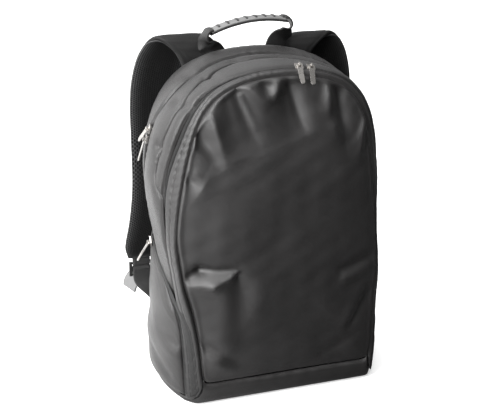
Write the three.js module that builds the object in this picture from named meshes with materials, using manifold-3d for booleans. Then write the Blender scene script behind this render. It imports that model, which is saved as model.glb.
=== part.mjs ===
// A laptop backpack of black coated cloth, standing on its base.
// Millimetres, +Z up, the front faces -Y and the wearer's back +Y.
// The origin is the middle of the base's underside.
import * as THREE from "three";
import { mergeVertices } from "three/addons/utils/BufferGeometryUtils.js";
import Module from "manifold-3d";

const wasm = await Module();
wasm.setup();

// Driving sizes
const height = 455; // base to the top of the main arch
const halfWidth = 159; // at the widest place of the bag
const backY = 75; // plane of the rear seam
const frontYBottom = -80; // plane of the front seam at the base
const frontYTop = -61; // plane of the front seam at the top
const crown = 22; // how far the front panel stands out of its seam
const wall = 2; // coated cloth with its foam backing
const baseWall = 3; // doubled cloth of the base, and the padded front panel
const seamGap = 0.3; // clearance between two pieces that meet at a seam
const layGap = 1.3; // clearance between two curved pieces that lie on each other

// The bag seen from the front, bottom to top: up is a share of the height,
// body and front are shares of halfWidth, for the bag and for the front seam.
const outline = [
  { up: 0, body: 0, front: 0 },
  { up: 0, body: 0.5, front: 0.4 },
  { up: 0, body: 0.91, front: 0.69 },
  { up: 0.004, body: 0.945, front: 0.73 },
  { up: 0.02, body: 0.955, front: 0.75 },
  { up: 0.06, body: 0.95, front: 0.765 },
  { up: 0.15, body: 0.935, front: 0.78 },
  { up: 0.25, body: 0.91, front: 0.81 },
  { up: 0.35, body: 0.9, front: 0.85 },
  { up: 0.45, body: 0.915, front: 0.862 },
  { up: 0.53, body: 0.95, front: 0.86 },
  { up: 0.61, body: 0.985, front: 0.84 },
  { up: 0.68, body: 1, front: 0.81 },
  { up: 0.745, body: 0.98, front: 0.78 },
  { up: 0.8, body: 0.948, front: 0.75 },
  { up: 0.85, body: 0.9, front: 0.712 },
  { up: 0.9, body: 0.815, front: 0.65 },
  { up: 0.945, body: 0.68, front: 0.545 },
  { up: 0.975, body: 0.5, front: 0.405 },
  { up: 0.994, body: 0.26, front: 0.21 },
  { up: 1, body: 0, front: 0 },
];

// The bag from back to front: depth is a share of the depth at that height,
// toFront blends the two outlines, narrow is a share of halfWidth,
// drop and lift are shares of the height that the top and the bottom lose.
const stations = [
  { depth: 0, toFront: 0, narrow: 0.125, drop: 0.012, lift: 0.004 },
  { depth: 0.1, toFront: 0, narrow: 0.07, drop: 0.002, lift: 0 },
  { depth: 0.3, toFront: 0.02, narrow: 0.02, drop: 0.01, lift: 0 },
  { depth: 0.55, toFront: 0.12, narrow: 0, drop: 0.01, lift: 0 },
  { depth: 0.8, toFront: 0.38, narrow: 0, drop: 0.008, lift: 0 },
  { depth: 0.9, toFront: 0.66, narrow: 0, drop: 0.009, lift: 0.003 },
  { depth: 0.95, toFront: 0.83, narrow: 0, drop: 0.012, lift: 0.018 },
  { depth: 0.98, toFront: 0.94, narrow: 0, drop: 0.016, lift: 0.042 },
  { depth: 1, toFront: 1, narrow: 0, drop: 0.018, lift: 0.082 },
];

// The front hangs askew: sway moves its seam to the right, in millimetres.
const askew = [
  { up: 0, sway: 11 },
  { up: 0.1, sway: 10 },
  { up: 0.25, sway: 7 },
  { up: 0.4, sway: 0 },
  { up: 0.53, sway: -5 },
  { up: 0.7, sway: -4 },
  { up: 0.85, sway: -1 },
  { up: 1, sway: 0 },
];

// Seams by height, as shares of the depth: the two zips, and the rear seam of
// the front pocket's own gusset, which runs out to a point at the front zip.
const seams = [
  { up: 0, main: 0.3, wedge: 0.82, front: 0.82 },
  { up: 0.622, main: 0.3, wedge: 0.82, front: 0.82 },
  { up: 0.659, main: 0.3, wedge: 0.73, front: 0.822 },
  { up: 0.705, main: 0.3, wedge: 0.66, front: 0.83 },
  { up: 0.765, main: 0.3, wedge: 0.66, front: 0.855 },
  { up: 0.831, main: 0.35, wedge: 0.695, front: 0.88 },
  { up: 0.886, main: 0.42, wedge: 0.71, front: 0.885 },
  { up: 0.925, main: 0.43, wedge: 0.69, front: 0.885 },
  { up: 0.958, main: 0.38, wedge: 0.62, front: 0.885 },
  { up: 0.98, main: 0.3, wedge: 0.51, front: 0.885 },
  { up: 0.991, main: 0.27, wedge: 0.45, front: 0.885 },
];
const zipTape = 6;
const zipRise = 0.8; // the coil stands out of the tape
const baseSeam = 0.112; // share of the loop from the middle of the base to its side seam
const loopCols = 40; // places along the loop that all its strips share
const baseCols = 12; // places across the base
const baseRows = [0.002, 0.1, 0.3, 0.55, 0.8, 0.841, 0.9, 0.95, 0.98, 0.9985]; // depths
const bandRows = [0, 0.375, 0.692, 0.883, 1]; // the front band's share of them
const faceRings = [0.3, 0.5, 0.63, 0.74, 0.83, 0.91, 0.965, 1]; // of the front panel

// Folds of the front panel, from end to end: x is a share of halfWidth and z
// of the height, a ridge rises above zero and a valley falls below it.
const folds = [
  { name: "corner valley", x0: -0.72, z0: 0.8, x1: -0.54, z1: 0.69, wide: 11, rise: -5 },
  { name: "corner ridge", x0: -0.66, z0: 0.86, x1: -0.53, z1: 0.71, wide: 10, rise: 4.5 },
  { name: "long valley", x0: -0.44, z0: 0.91, x1: -0.22, z1: 0.74, wide: 12, rise: -6 },
  { name: "bright ridge", x0: -0.34, z0: 0.925, x1: -0.11, z1: 0.85, wide: 11, rise: 5.5 },
  { name: "slider valley", x0: 0.1, z0: 0.91, x1: 0.14, z1: 0.77, wide: 13, rise: -7 },
  { name: "right ridge", x0: 0.4, z0: 0.92, x1: 0.32, z1: 0.8, wide: 10, rise: 5 },
  { name: "right valley", x0: 0.52, z0: 0.86, x1: 0.4, z1: 0.72, wide: 13, rise: -5.5 },
  { name: "edge ridge", x0: 0.7, z0: 0.84, x1: 0.62, z1: 0.72, wide: 10, rise: 4 },
  { name: "side dent", x0: -0.86, z0: 0.66, x1: -0.74, z1: 0.63, wide: 12, rise: -4 },
  { name: "hip crease", x0: -0.86, z0: 0.37, x1: -0.44, z1: 0.395, wide: 10, rise: -6 },
  { name: "hip ridge", x0: -0.8, z0: 0.335, x1: -0.42, z1: 0.365, wide: 12, rise: 5 },
  { name: "foot crease", x0: -0.75, z0: 0.2, x1: -0.38, z1: 0.12, wide: 13, rise: -4.5 },
  { name: "right waist crease", x0: 0.45, z0: 0.375, x1: 0.75, z1: 0.4, wide: 12, rise: -3.5 },
  { name: "right foot crease", x0: 0.55, z0: 0.2, x1: 0.74, z1: 0.28, wide: 12, rise: -4 },
];

// Padded back panel
const backPadWall = 4;
const backPadInset = 2;
const backPadSwell = 4;

// Side pockets. The table gives a pocket's front edge: up is a share of its
// top's height and depth one of the bag's depth.
const pocketTop = 208;
const pocketSwell = 12;
const pocketBandWide = 14;
const pocketBandWall = 1.6;
const pocketZipWide = 6;
const pocketEdge = [
  { up: 0.058, depth: 0.85 },
  { up: 0.481, depth: 0.845 },
  { up: 0.639, depth: 0.81 },
  { up: 0.745, depth: 0.7 },
  { up: 0.875, depth: 0.48 },
  { up: 1, depth: 0.2 },
];

// Shoulder straps: the middle of the right strap from its seam over its bend
// to its foot. Across and up are shares of halfWidth and height, behind is
// measured from the rim of the back panel's cushion, and half is half its width.
const strapSway = 8; // both straps hang this far to the right
const strapSag = 8; // and the right one sits this much lower
const strapPad = 8;
const strapEdge = 5; // thickness at the bound edges
const strapMesh = 1.2;
const strapPath = [
  { across: 0.352, behind: 6.4, up: 0.8747, half: 31 },
  { across: 0.358, behind: 9.3, up: 0.9275, half: 31.5 },
  { across: 0.403, behind: 12, up: 0.967, half: 32.5 },
  { across: 0.478, behind: 15.4, up: 0.9967, half: 33 },
  { across: 0.541, behind: 19.8, up: 1.0132, half: 33.5 },
  { across: 0.585, behind: 25.5, up: 1.0176, half: 33.5 },
  { across: 0.642, behind: 31.2, up: 1.0088, half: 33.5 },
  { across: 0.692, behind: 33.7, up: 0.9868, half: 34 },
  { across: 0.742, behind: 36.2, up: 0.9516, half: 34 },
  { across: 0.789, behind: 36.7, up: 0.8835, half: 34 },
  { across: 0.802, behind: 36.2, up: 0.8088, half: 34 },
  { across: 0.799, behind: 34.7, up: 0.7143, half: 33.5 },
  { across: 0.805, behind: 31.7, up: 0.5495, half: 32 },
  { across: 0.849, behind: 26.7, up: 0.4462, half: 30 },
  { across: 0.912, behind: 22.7, up: 0.3692, half: 26 },
  { across: 0.925, behind: 20.7, up: 0.3341, half: 19 },
];

// Ladder lock: three bars between two sides, under the strap's foot
const lockDrop = 9; // its top bar below the strap's foot
const lockPitch = 9; // from bar to bar
const lockBar = 1.6; // radius
const lockWide = 35;
const lockSide = 4.2;
const lockThick = 4;

// Webbing of the right strap from its seam on the back panel, round the
// middle bar, to its tail: out and down are measured from the lock's top bar,
// and turn is the angle of its width from X toward Y.
const webHalf = 12.5;
const webThick = 1.4;
const webPath = [
  { out: -31, behind: 3.1, down: 61, turn: 0 },
  { out: -25, behind: 4.2, down: 51, turn: 0 },
  { out: -13, behind: 9.7, down: 38, turn: 0 },
  { out: -1, behind: 16.2, down: 25, turn: 0 },
  { out: 0, behind: 18, down: 15, turn: 0 },
  { out: 0, behind: 18, down: 9, turn: 0 },
  { out: 0, behind: 18.8, down: 7.1, turn: 0 },
  { out: 0, behind: 20.7, down: 6.3, turn: 0 },
  { out: 0, behind: 22.6, down: 7.1, turn: 0 },
  { out: 0, behind: 23.4, down: 9, turn: 0 },
  { out: 0, behind: 24.3, down: 14, turn: 0 },
  { out: 2, behind: 27.7, down: 21, turn: 14 },
  { out: 7, behind: 31.2, down: 27.5, turn: 38 },
  { out: 12, behind: 32.9, down: 35, turn: 56 },
  { out: 14.5, behind: 33.3, down: 45, turn: 62 },
];
const webSteps = 26;
const tailSteps = 6; // of them the last ones carry the tail's grey face
const tailFace = 1.6;
const tabHalf = 12;

// Carrying handle: an arch that stands higher at its right end
const gripHalf = 55;
const gripRise = 23; // its middle above the top of the bag
const gripBehind = -1.3;
const gripTilt = 6; // rise from the middle to the right end
const gripArch = 9;
const gripDeep = 19;
const gripShort = 0.06; // share of the arch at each end that the rubber leaves bare
const gripThick = 3.4;
const underDeep = 17.5;
const underThick = 2.4; // black webbing under the grip
const ribCount = 9;
const ribPitch = 12.6;
const ribMiddle = -3;
const ribWide = 3.2;
const ribDeep = 14;
const ribThick = 1;

// A handle tab from the grip's end down to its foot: x and z are measured
// from the grip's end, and the last rows lie behind the back panel.
const handleTabThick = 2.4;
const handleTab = [
  { x: 0.6, behind: -1.3, down: 0.5, half: 9.5, turn: 90 },
  { x: 4.5, behind: -1.3, down: 3.5, half: 10, turn: 88 },
  { x: 5.5, behind: -0.8, down: 10, half: 12, turn: 68 },
  { x: 1, behind: 0, down: 17, half: 13.5, turn: 18 },
  { x: -8, behind: 2.3, down: 24, half: 13, turn: 3 },
  { x: -14, behind: 3.3, down: 33, half: 13, turn: 0 },
  { x: -16, behind: 3.2, down: 52, half: 13, turn: 0 },
];

// Zip sliders: a plate with an arch that holds the pull's end bar
const plateLong = 11;
const plateWide = 9;
const plateThick = 2;
const archWide = 2.4;
const archWire = 1.3;
const archInner = 1.3; // half the opening under the arch
const archHigh = 4.2;
const barHigh = 1.7; // the pull's turning line above the plate

// Zip pulls
const pullLong = 31;
const pullWide = 7.5;
const pullThick = 1.3;
const eyeLong = 3.6;
const eyeWide = 4.3;

const sliderDown = 5; // of a pocket's slider below the pocket's top

// Where the other sliders sit, as shares of halfWidth or height. A pull falls
// down the side, or forward on the top: swing turns it in the cloth's plane and
// lift raises it off the cloth. Tilt turns a slider forward about its zip, and
// rise is what it then stands clear of the cloth.
const sliderRows = [
  { name: "front_1", zip: "front", across: 0.15, swing: -6, lift: 0, tilt: 30, rise: 2.4 },
  { name: "front_2", zip: "front", across: 0.25, swing: -8, lift: 0, tilt: 30, rise: 2.4 },
  { name: "main_1", zip: "main", up: 0.796, swing: -40, lift: 5 },
  { name: "main_2", zip: "main", up: 0.765, swing: 0, lift: 5 },
  { name: "pocket_left", zip: "pocket_left", swing: 0, lift: 38 },
  { name: "pocket_right", zip: "pocket_right", swing: 0, lift: 12 },
];

const cloth = new THREE.MeshStandardMaterial({ color: 0x2b2a2b, roughness: 0.55, metalness: 0 });
const binding = new THREE.MeshStandardMaterial({ color: 0x191919, roughness: 0.7, metalness: 0 });
const meshCloth = new THREE.MeshStandardMaterial({ color: 0x0d0d0d, roughness: 0.95, metalness: 0 });
const coil = new THREE.MeshStandardMaterial({ color: 0x111111, roughness: 0.5, metalness: 0 });
const rubber = new THREE.MeshStandardMaterial({ color: 0x8f8f8f, roughness: 0.6, metalness: 0 });
const plastic = new THREE.MeshStandardMaterial({ color: 0x0e0e0e, roughness: 0.4, metalness: 0 });
const metal = new THREE.MeshStandardMaterial({ color: 0xd8d4d0, roughness: 0.25, metalness: 1 });

const vec = (x, y, z) => new THREE.Vector3(x, y, z);
const lerp = THREE.MathUtils.lerp;

// A smooth curve through a table's rows that never overshoots them.
function tableCurve(rows, key, value) {
  const steps = rows.slice(1).map((row, i) => (row[value] - rows[i][value]) / (row[key] - rows[i][key]));
  const slopes = rows.map((_, i) => {
    const before = steps[i - 1];
    const after = steps[i];
    if (before === undefined) return after;
    if (after === undefined) return before;
    return before * after <= 0 ? 0 : (2 * before * after) / (before + after);
  });
  return (at) => {
    let i = rows.findIndex((row) => row[key] >= at);
    if (i < 0) i = rows.length - 1;
    i = Math.max(i, 1);
    const from = rows[i - 1];
    const to = rows[i];
    const span = to[key] - from[key];
    const t = THREE.MathUtils.clamp((at - from[key]) / span, 0, 1);
    const bend = t * t * (3 - 2 * t);
    const leave = t * (1 - t) * (1 - t) * span * slopes[i - 1];
    const arrive = t * t * (t - 1) * span * slopes[i];
    return lerp(from[value], to[value], bend) + leave + arrive;
  };
}

// The closed outline: u runs once round, from the middle of the base to the
// right side, over the top and down the left side.
const loopRows = [...outline, ...outline.slice(1, -1).reverse().map((row) => ({ ...row, left: true }))];
const outlineCurve = (key) =>
  new THREE.CatmullRomCurve3(
    loopRows.map((row) => vec((row.left ? -1 : 1) * row[key] * halfWidth, 0, row.up * height)),
    true,
  );
const bodyCurve = outlineCurve("body");
const frontCurve = outlineCurve("front");
bodyCurve.arcLengthDivisions = 600;

const station = Object.fromEntries(
  ["toFront", "narrow", "drop", "lift"].map((column) => [column, tableCurve(stations, "depth", column)]),
);

const swayAt = tableCurve(askew, "up", "sway");

const depthAt = (z) => backY - lerp(frontYBottom, frontYTop, z / height);

// A point of the bag's surface, u round the outline and v from back to front.
function bag(u, v) {
  const t = bodyCurve.getUtoTmapping(THREE.MathUtils.euclideanModulo(u, 1));
  const body = bodyCurve.getPoint(t);
  const front = frontCurve.getPoint(t);
  const toFront = station.toFront(v);
  const up = Math.max(0, lerp(body.z, front.z, toFront)) / height;
  const x = lerp(body.x, front.x, toFront) * (1 - station.narrow(v)) + swayAt(up) * v;
  const low = station.lift(v) * height;
  const high = (1 - station.drop(v)) * height;
  const z = lerp(low, high, up);
  return vec(x, backY - v * depthAt(z), z);
}

// The outward direction of a surface, worked out from neighbouring points.
function normalOf(surface, a, b) {
  const step = 1e-3;
  const alongA = surface(a + step, b).sub(surface(a - step, b));
  const alongB = surface(a, Math.min(b + step, 1)).sub(surface(a, Math.max(b - step, 0)));
  return alongA.cross(alongB).normalize();
}

// A surface that lies a distance outside another; the distance may vary.
const offset = (surface, distance) => (a, b) => {
  const out = typeof distance === "function" ? distance(a, b) : distance;
  return surface(a, b).addScaledVector(normalOf(surface, a, b), out);
};

// A part of a surface, with its own a and b from 0 to 1; steps warps b.
const patch = (surface, u0, u1, v0, v1, steps = [0, 1]) => (a, b) => {
  const u = lerp(u0, u1, a);
  const edge = (v) => (typeof v === "function" ? v(u) : v);
  const at = b * (steps.length - 1);
  const i = Math.min(Math.floor(at), steps.length - 2);
  return surface(u, lerp(edge(v0), edge(v1), lerp(steps[i], steps[i + 1], at - i)));
};

function geometryOf(points, faces) {
  const made = new THREE.BufferGeometry();
  made.setAttribute("position", new THREE.Float32BufferAttribute(points.flatMap((p) => p.toArray()), 3));
  made.setIndex(faces);
  const volume = faces.reduce((sum, _, i) => {
    if (i % 3) return sum;
    const [p, q, r] = [faces[i], faces[i + 1], faces[i + 2]].map((k) => points[k]);
    return sum + p.dot(q.clone().cross(r));
  }, 0);
  if (volume < 0) made.setIndex(faces.slice().reverse());
  made.computeVertexNormals();
  return made;
}

// A closed solid between two surfaces over the same a and b.
function sheet(upper, under, cols, rows) {
  const points = [];
  const faces = [];
  const across = rows + 1;
  const size = (cols + 1) * across;
  for (const side of [upper, under]) {
    for (let i = 0; i <= cols; i++) for (let j = 0; j <= rows; j++) points.push(side(i / cols, j / rows));
  }
  const quad = (p, q, r, s) => faces.push(p, q, r, p, r, s);
  for (let i = 0; i < cols; i++) {
    for (let j = 0; j < rows; j++) {
      const k = i * across + j;
      quad(k, k + across, k + across + 1, k + 1);
      quad(size + k, size + k + 1, size + k + across + 1, size + k + across);
    }
  }
  for (let i = 0; i < cols; i++) {
    const near = i * across;
    const far = near + rows;
    quad(near, size + near, size + near + across, near + across);
    quad(far, far + across, size + far + across, size + far);
  }
  for (let j = 0; j < rows; j++) {
    const far = cols * across + j;
    quad(j, j + 1, size + j + 1, size + j);
    quad(far, size + far, size + far + 1, far + 1);
  }
  return geometryOf(points, faces);
}

// A closed solid between two surfaces given by angle a and the radii of its
// rings, from the middle to the rim at 1.
function dish(upper, under, round, radii) {
  const points = [];
  const faces = [];
  const rings = radii.length;
  for (const side of [upper, under]) {
    points.push(side(0, 0));
    for (const r of radii) for (let i = 0; i < round; i++) points.push(side(i / round, r));
  }
  const size = 1 + rings * round;
  const at = (side, i, j) => side * size + (j ? 1 + (j - 1) * round + (i % round) : 0);
  for (let i = 0; i < round; i++) {
    faces.push(at(0, 0, 0), at(0, i, 1), at(0, i + 1, 1));
    faces.push(at(1, 0, 0), at(1, i + 1, 1), at(1, i, 1));
    for (let j = 1; j < rings; j++) {
      faces.push(at(0, i, j), at(0, i, j + 1), at(0, i + 1, j + 1));
      faces.push(at(0, i, j), at(0, i + 1, j + 1), at(0, i + 1, j));
      faces.push(at(1, i, j), at(1, i + 1, j + 1), at(1, i, j + 1));
      faces.push(at(1, i, j), at(1, i + 1, j), at(1, i + 1, j + 1));
    }
    faces.push(at(0, i, rings), at(1, i, rings), at(1, i + 1, rings));
    faces.push(at(0, i, rings), at(1, i + 1, rings), at(0, i + 1, rings));
  }
  return geometryOf(points, faces);
}

function solidOf(geometry) {
  const bare = geometry.clone();
  bare.deleteAttribute("normal");
  bare.deleteAttribute("uv");
  const merged = mergeVertices(bare, 1e-4);
  return new wasm.Manifold(
    new wasm.Mesh({
      numProp: 3,
      vertProperties: merged.attributes.position.array,
      triVerts: new Uint32Array(merged.index.array),
    }),
  );
}

function geometryOfSolid(solid) {
  const mesh = solid.getMesh();
  const made = new THREE.BufferGeometry();
  made.setAttribute("position", new THREE.BufferAttribute(new Float32Array(mesh.vertProperties), 3));
  made.setIndex(new THREE.BufferAttribute(new Uint32Array(mesh.triVerts), 1));
  made.computeVertexNormals();
  return made;
}

const backpack = new THREE.Group();

function add(name, geometry, material, matrix) {
  const mesh = new THREE.Mesh(geometry, material);
  mesh.name = name;
  if (matrix) mesh.applyMatrix4(matrix);
  backpack.add(mesh);
  return mesh;
}

// The place between from and to where a rising value reaches a target.
function bisect(value, target, from, to) {
  let [low, high] = [from, to];
  for (let i = 0; i < 40; i++) {
    const middle = (low + high) / 2;
    if (value(middle) < target) low = middle;
    else high = middle;
  }
  return (low + high) / 2;
}

// The height of the bag's surface at u, and the u of a height on the right side.
const heightAt = (u) => bag(u, 0.5).z;

const loopAt = (z) => bisect(heightAt, z, baseSeam, 0.5);

// A width in millimetres as a share of the depth at u.
const share = (wide, u) => wide / depthAt(heightAt(u));

// The strips share these places along the loop, so their seams run side by side.
const loopPlace = (i) => lerp(baseSeam, 1 - baseSeam, i / loopCols);
const [mainZip, wedgeRear, frontZip] = ["main", "wedge", "front"].map((column) => {
  const depth = tableCurve(seams, "up", column);
  return (u) => depth(heightAt(u) / height);
});
const isWedge = (u) => wedgeRear(u) < frontZip(u) - share(zipTape / 2 + 4, u);
const wedgeFirst = Array.from({ length: loopCols }, (_, i) => i).find((i) => isWedge(loopPlace(i)));
const frontEdge = 0.9985; // the front seam's own gap, as a share

// Gussets: cloth strips that run from the base up one side and down the other.
function gussets() {
  const zipEdge = (u) => share(zipTape / 2 + seamGap, u);
  const strip = (name, skip, v0, v1, rows, steps) => {
    const surface = patch(bag, loopPlace(skip), loopPlace(loopCols - skip), v0, v1, steps);
    add(name, sheet(surface, offset(surface, -wall), loopCols - 2 * skip, rows), cloth);
  };
  const zipSide = (u) => frontZip(u) - zipEdge(u);
  const onWedge = (u) => u > loopPlace(wedgeFirst - 0.5) && u < loopPlace(loopCols - wedgeFirst + 0.5);
  const mainFront = (u) => (onWedge(u) ? wedgeRear(u) - share(seamGap / 2, u) : zipSide(u));
  strip("rear_gusset", 0, 0, (u) => mainZip(u) - zipEdge(u), 2);
  strip("main_gusset", 0, (u) => mainZip(u) + zipEdge(u), mainFront, 3);
  strip("pocket_gusset", wedgeFirst, (u) => wedgeRear(u) + share(seamGap / 2, u), zipSide, 1);
  strip("front_band", 0, (u) => frontZip(u) + zipEdge(u), frontEdge, bandRows.length - 1, bandRows);
}

// A zip: a tape whose coil stands out along its middle.
const coilAt = (b) => (b > 0.1 && b < 0.9 ? zipRise : 0);

function zips() {
  for (const [name, depth] of [
    ["main_zip", mainZip],
    ["front_zip", frontZip],
  ]) {
    const edge = (side) => (u) => depth(u) + side * share(zipTape / 2, u);
    const surface = patch(bag, baseSeam, 1 - baseSeam, edge(-1), edge(1));
    add(name, sheet(offset(surface, (a, b) => coilAt(b) - 0.6), offset(surface, -wall), loopCols, 3), coil);
  }
}

// The base: a tray of doubled cloth that rolls up to the front seam.
function base() {
  const seam = baseSeam - 0.0005;
  const surface = patch(bag, -seam, seam, 0, 1, baseRows);
  add("base_panel", sheet(surface, offset(surface, -baseWall), baseCols, baseRows.length - 1), cloth);
}

// How far the folds push the front panel out at a place on it.
function foldRise(x, z) {
  return folds.reduce((sum, fold) => {
    const [fromX, toX] = [fold.x0 * halfWidth, fold.x1 * halfWidth];
    const [fromZ, toZ] = [fold.z0 * height, fold.z1 * height];
    const run = Math.hypot(toX - fromX, toZ - fromZ);
    const [dirX, dirZ] = [(toX - fromX) / run, (toZ - fromZ) / run];
    const along = (x - fromX) * dirX + (z - fromZ) * dirZ;
    const beyond = along - THREE.MathUtils.clamp(along, 0, run);
    const away = (x - fromX) * dirZ - (z - fromZ) * dirX;
    return sum + fold.rise * Math.exp(-(away * away + beyond * beyond) / (fold.wide * fold.wide));
  }, 0);
}

// The front panel: a crowned dish whose rim follows the front seam.
const frontMiddle = 0.47 * height;

function frontFace(u, r) {
  const rim = bag(u, 1);
  const x = lerp(swayAt(frontMiddle / height), rim.x, r);
  const z = lerp(frontMiddle, rim.z, r);
  const dome = 1 - Math.pow(r, 2.4);
  const still = 1 - Math.pow(r, 7);
  return vec(x, backY - depthAt(z) - crown * dome - foldRise(x, z) * still, z);
}

// Places round the front seam that meet the corners of the base and the strips.
function rimPlace(a) {
  const i = Math.round(a * (baseCols + loopCols));
  return i < baseCols ? lerp(-baseSeam, baseSeam, i / baseCols) : loopPlace(i - baseCols);
}

function frontPanel() {
  const face = (a, r) => frontFace(rimPlace(a), r * frontEdge);
  const under = (a, r) => {
    const inward = normalOf(bag, rimPlace(a), 1).negate().lerp(vec(0, 1, 0), 1 - Math.pow(r, 8));
    return face(a, r).addScaledVector(inward, lerp(baseWall, wall, Math.pow(r, 8)));
  };
  add("front_panel", dish(face, under, baseCols + loopCols, faceRings), cloth);
}

// The padded back panel, a plain cushion that closes the rear seam.
function backPanel() {
  const inset = 1 - backPadInset / halfWidth;
  const ring = (a, r) => {
    const rim = bag(a, 0);
    return vec(rim.x * r * inset, 0, lerp(height / 2, rim.z, r * inset));
  };
  const front = (a, r) => ring(a, r).setY(backY + seamGap);
  const rear = (a, r) => ring(a, r).setY(backY + seamGap + backPadWall + backPadSwell * (1 - Math.pow(r, 4)));
  add("back_panel", dish(rear, front, 40, [0.6, 0.9, 1]), meshCloth);
}

// The surfaces of a side pocket; on the left one u is counted the other way.
function pocketSurfaces(mirror) {
  const edgeAt = tableCurve(pocketEdge, "up", "depth");
  const [low, high] = [baseSeam + 0.003, loopAt(pocketTop)];
  const shell = (u, v) => bag(mirror > 0 ? u : 1 - u, v);
  const after = (wide) => (u) => Math.min(edgeAt(heightAt(u) / pocketTop) + share(wide, u), 0.99);
  const zipEnd = seamGap + pocketZipWide;
  return {
    panel: patch(shell, low, high, 0.004, after(0)),
    tape: patch(shell, low, high, after(seamGap), after(zipEnd)),
    band: patch(shell, low, high, after(zipEnd + seamGap), after(zipEnd + seamGap + pocketBandWide)),
  };
}

// Side pockets, each with its zip and the band that covers the zip's edge.
function sidePockets() {
  for (const [side, out] of [
    ["right", 1],
    ["left", -1],
  ]) {
    const { panel, tape, band } = pocketSurfaces(out);
    const lay = (surface, distance) => offset(surface, (a, b) => out * distance(a, b));
    const swell = (a, b) => {
      const tall = Math.pow(Math.sin(Math.PI * Math.pow(a, 0.75)), 0.7) || 0;
      const wide = Math.pow(Math.sin(Math.PI * Math.pow(b, 1.1)), 0.7) || 0;
      return layGap + pocketSwell * tall * wide;
    };
    const flat = () => layGap;
    add(`side_pocket_${side}`, sheet(lay(panel, (a, b) => wall + swell(a, b)), lay(panel, swell), 14, 5), cloth);
    add(`pocket_zip_${side}`, sheet(lay(tape, (a, b) => layGap + 1.2 + coilAt(b)), lay(tape, flat), 14, 3), coil);
    const bandTop = (a, b) => layGap + pocketBandWall + 0.8 * Math.sin(Math.PI * b);
    add(`pocket_band_${side}`, sheet(lay(band, bandTop), lay(band, flat), 14, 2), binding);
  }
}

const tableAt = (rows, key) => {
  const numbered = rows.map((row, i) => ({ i: i / (rows.length - 1), value: row[key] }));
  return tableCurve(numbered, "i", "value");
};

// The rim of the back panel's cushion: what hangs behind the bag starts from it.
const padFace = backY + seamGap + backPadWall;

const strapRows = strapPath.map((row) => ({
  ...row,
  x: row.across * halfWidth,
  y: padFace + row.behind,
  z: row.up * height,
}));

// The middle of the right lock's top bar.
const strapFoot = strapRows.at(-1);
const lockPlace = { x: strapFoot.x, y: strapFoot.y, z: strapFoot.z - lockDrop };

const webRows = webPath.map((row) => ({
  ...row,
  x: lockPlace.x + row.out,
  y: padFace + row.behind,
  z: lockPlace.z - row.down,
}));

// The curve through rows of x, y and z, mirrored and swung out in its middle.
function pathOf(rows, mirror, sway = 0, sag = 0) {
  const places = rows.map((row, i) => {
    const swing = Math.sin((Math.PI * i) / (rows.length - 1));
    return vec(mirror * row.x + sway * swing, row.y, row.z - sag * swing);
  });
  return new THREE.CatmullRomCurve3(places, false, "centripetal");
}

// Shoulder straps: a pad that bends over a line parallel to X, with air mesh
// on the side that lies on the wearer.
function straps() {
  for (const [side, mirror] of [
    ["right", 1],
    ["left", -1],
  ]) {
    const curve = pathOf(strapRows, mirror, strapSway, mirror > 0 ? strapSag : 0);
    const half = tableAt(strapPath, "half");
    const bulge = (b) => lerp(strapEdge, strapPad, 1 - Math.pow(Math.abs(2 * b - 1), 4)) / 2;
    const face = (distance) => (a, b) => {
      const along = curve.getTangent(a);
      const out = vec(0, -along.z, along.y).normalize();
      const place = curve.getPoint(a);
      place.x += mirror * (2 * b - 1) * half(a);
      return place.addScaledVector(out, distance(b));
    };
    const steps = 22;
    add(`strap_${side}`, sheet(face(bulge), face((b) => -bulge(b)), steps, 4), cloth);
    const lining = (rise) => face((b) => -bulge(b) - 2 * seamGap - rise);
    add(`strap_mesh_${side}`, sheet(lining(0), lining(strapMesh), steps, 4), meshCloth);
  }
}

// A flat band along a curve; turn is the angle of its width from X toward Y.
function bandAlong(curve, half, turn, mirror) {
  const frame = (t) => {
    const along = curve.getTangent(t);
    const angle = THREE.MathUtils.degToRad(turn(t));
    const wide = vec(mirror * Math.cos(angle), Math.sin(angle), 0);
    wide.addScaledVector(along, -wide.dot(along)).normalize();
    return { wide, out: along.clone().cross(wide).multiplyScalar(mirror).normalize() };
  };
  return (from, to, distance) => (a, b) => {
    const t = lerp(from, to, a);
    const { wide, out } = frame(t);
    return curve.getPoint(t).addScaledVector(wide, (2 * b - 1) * half(t)).addScaledVector(out, distance);
  };
}

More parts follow.
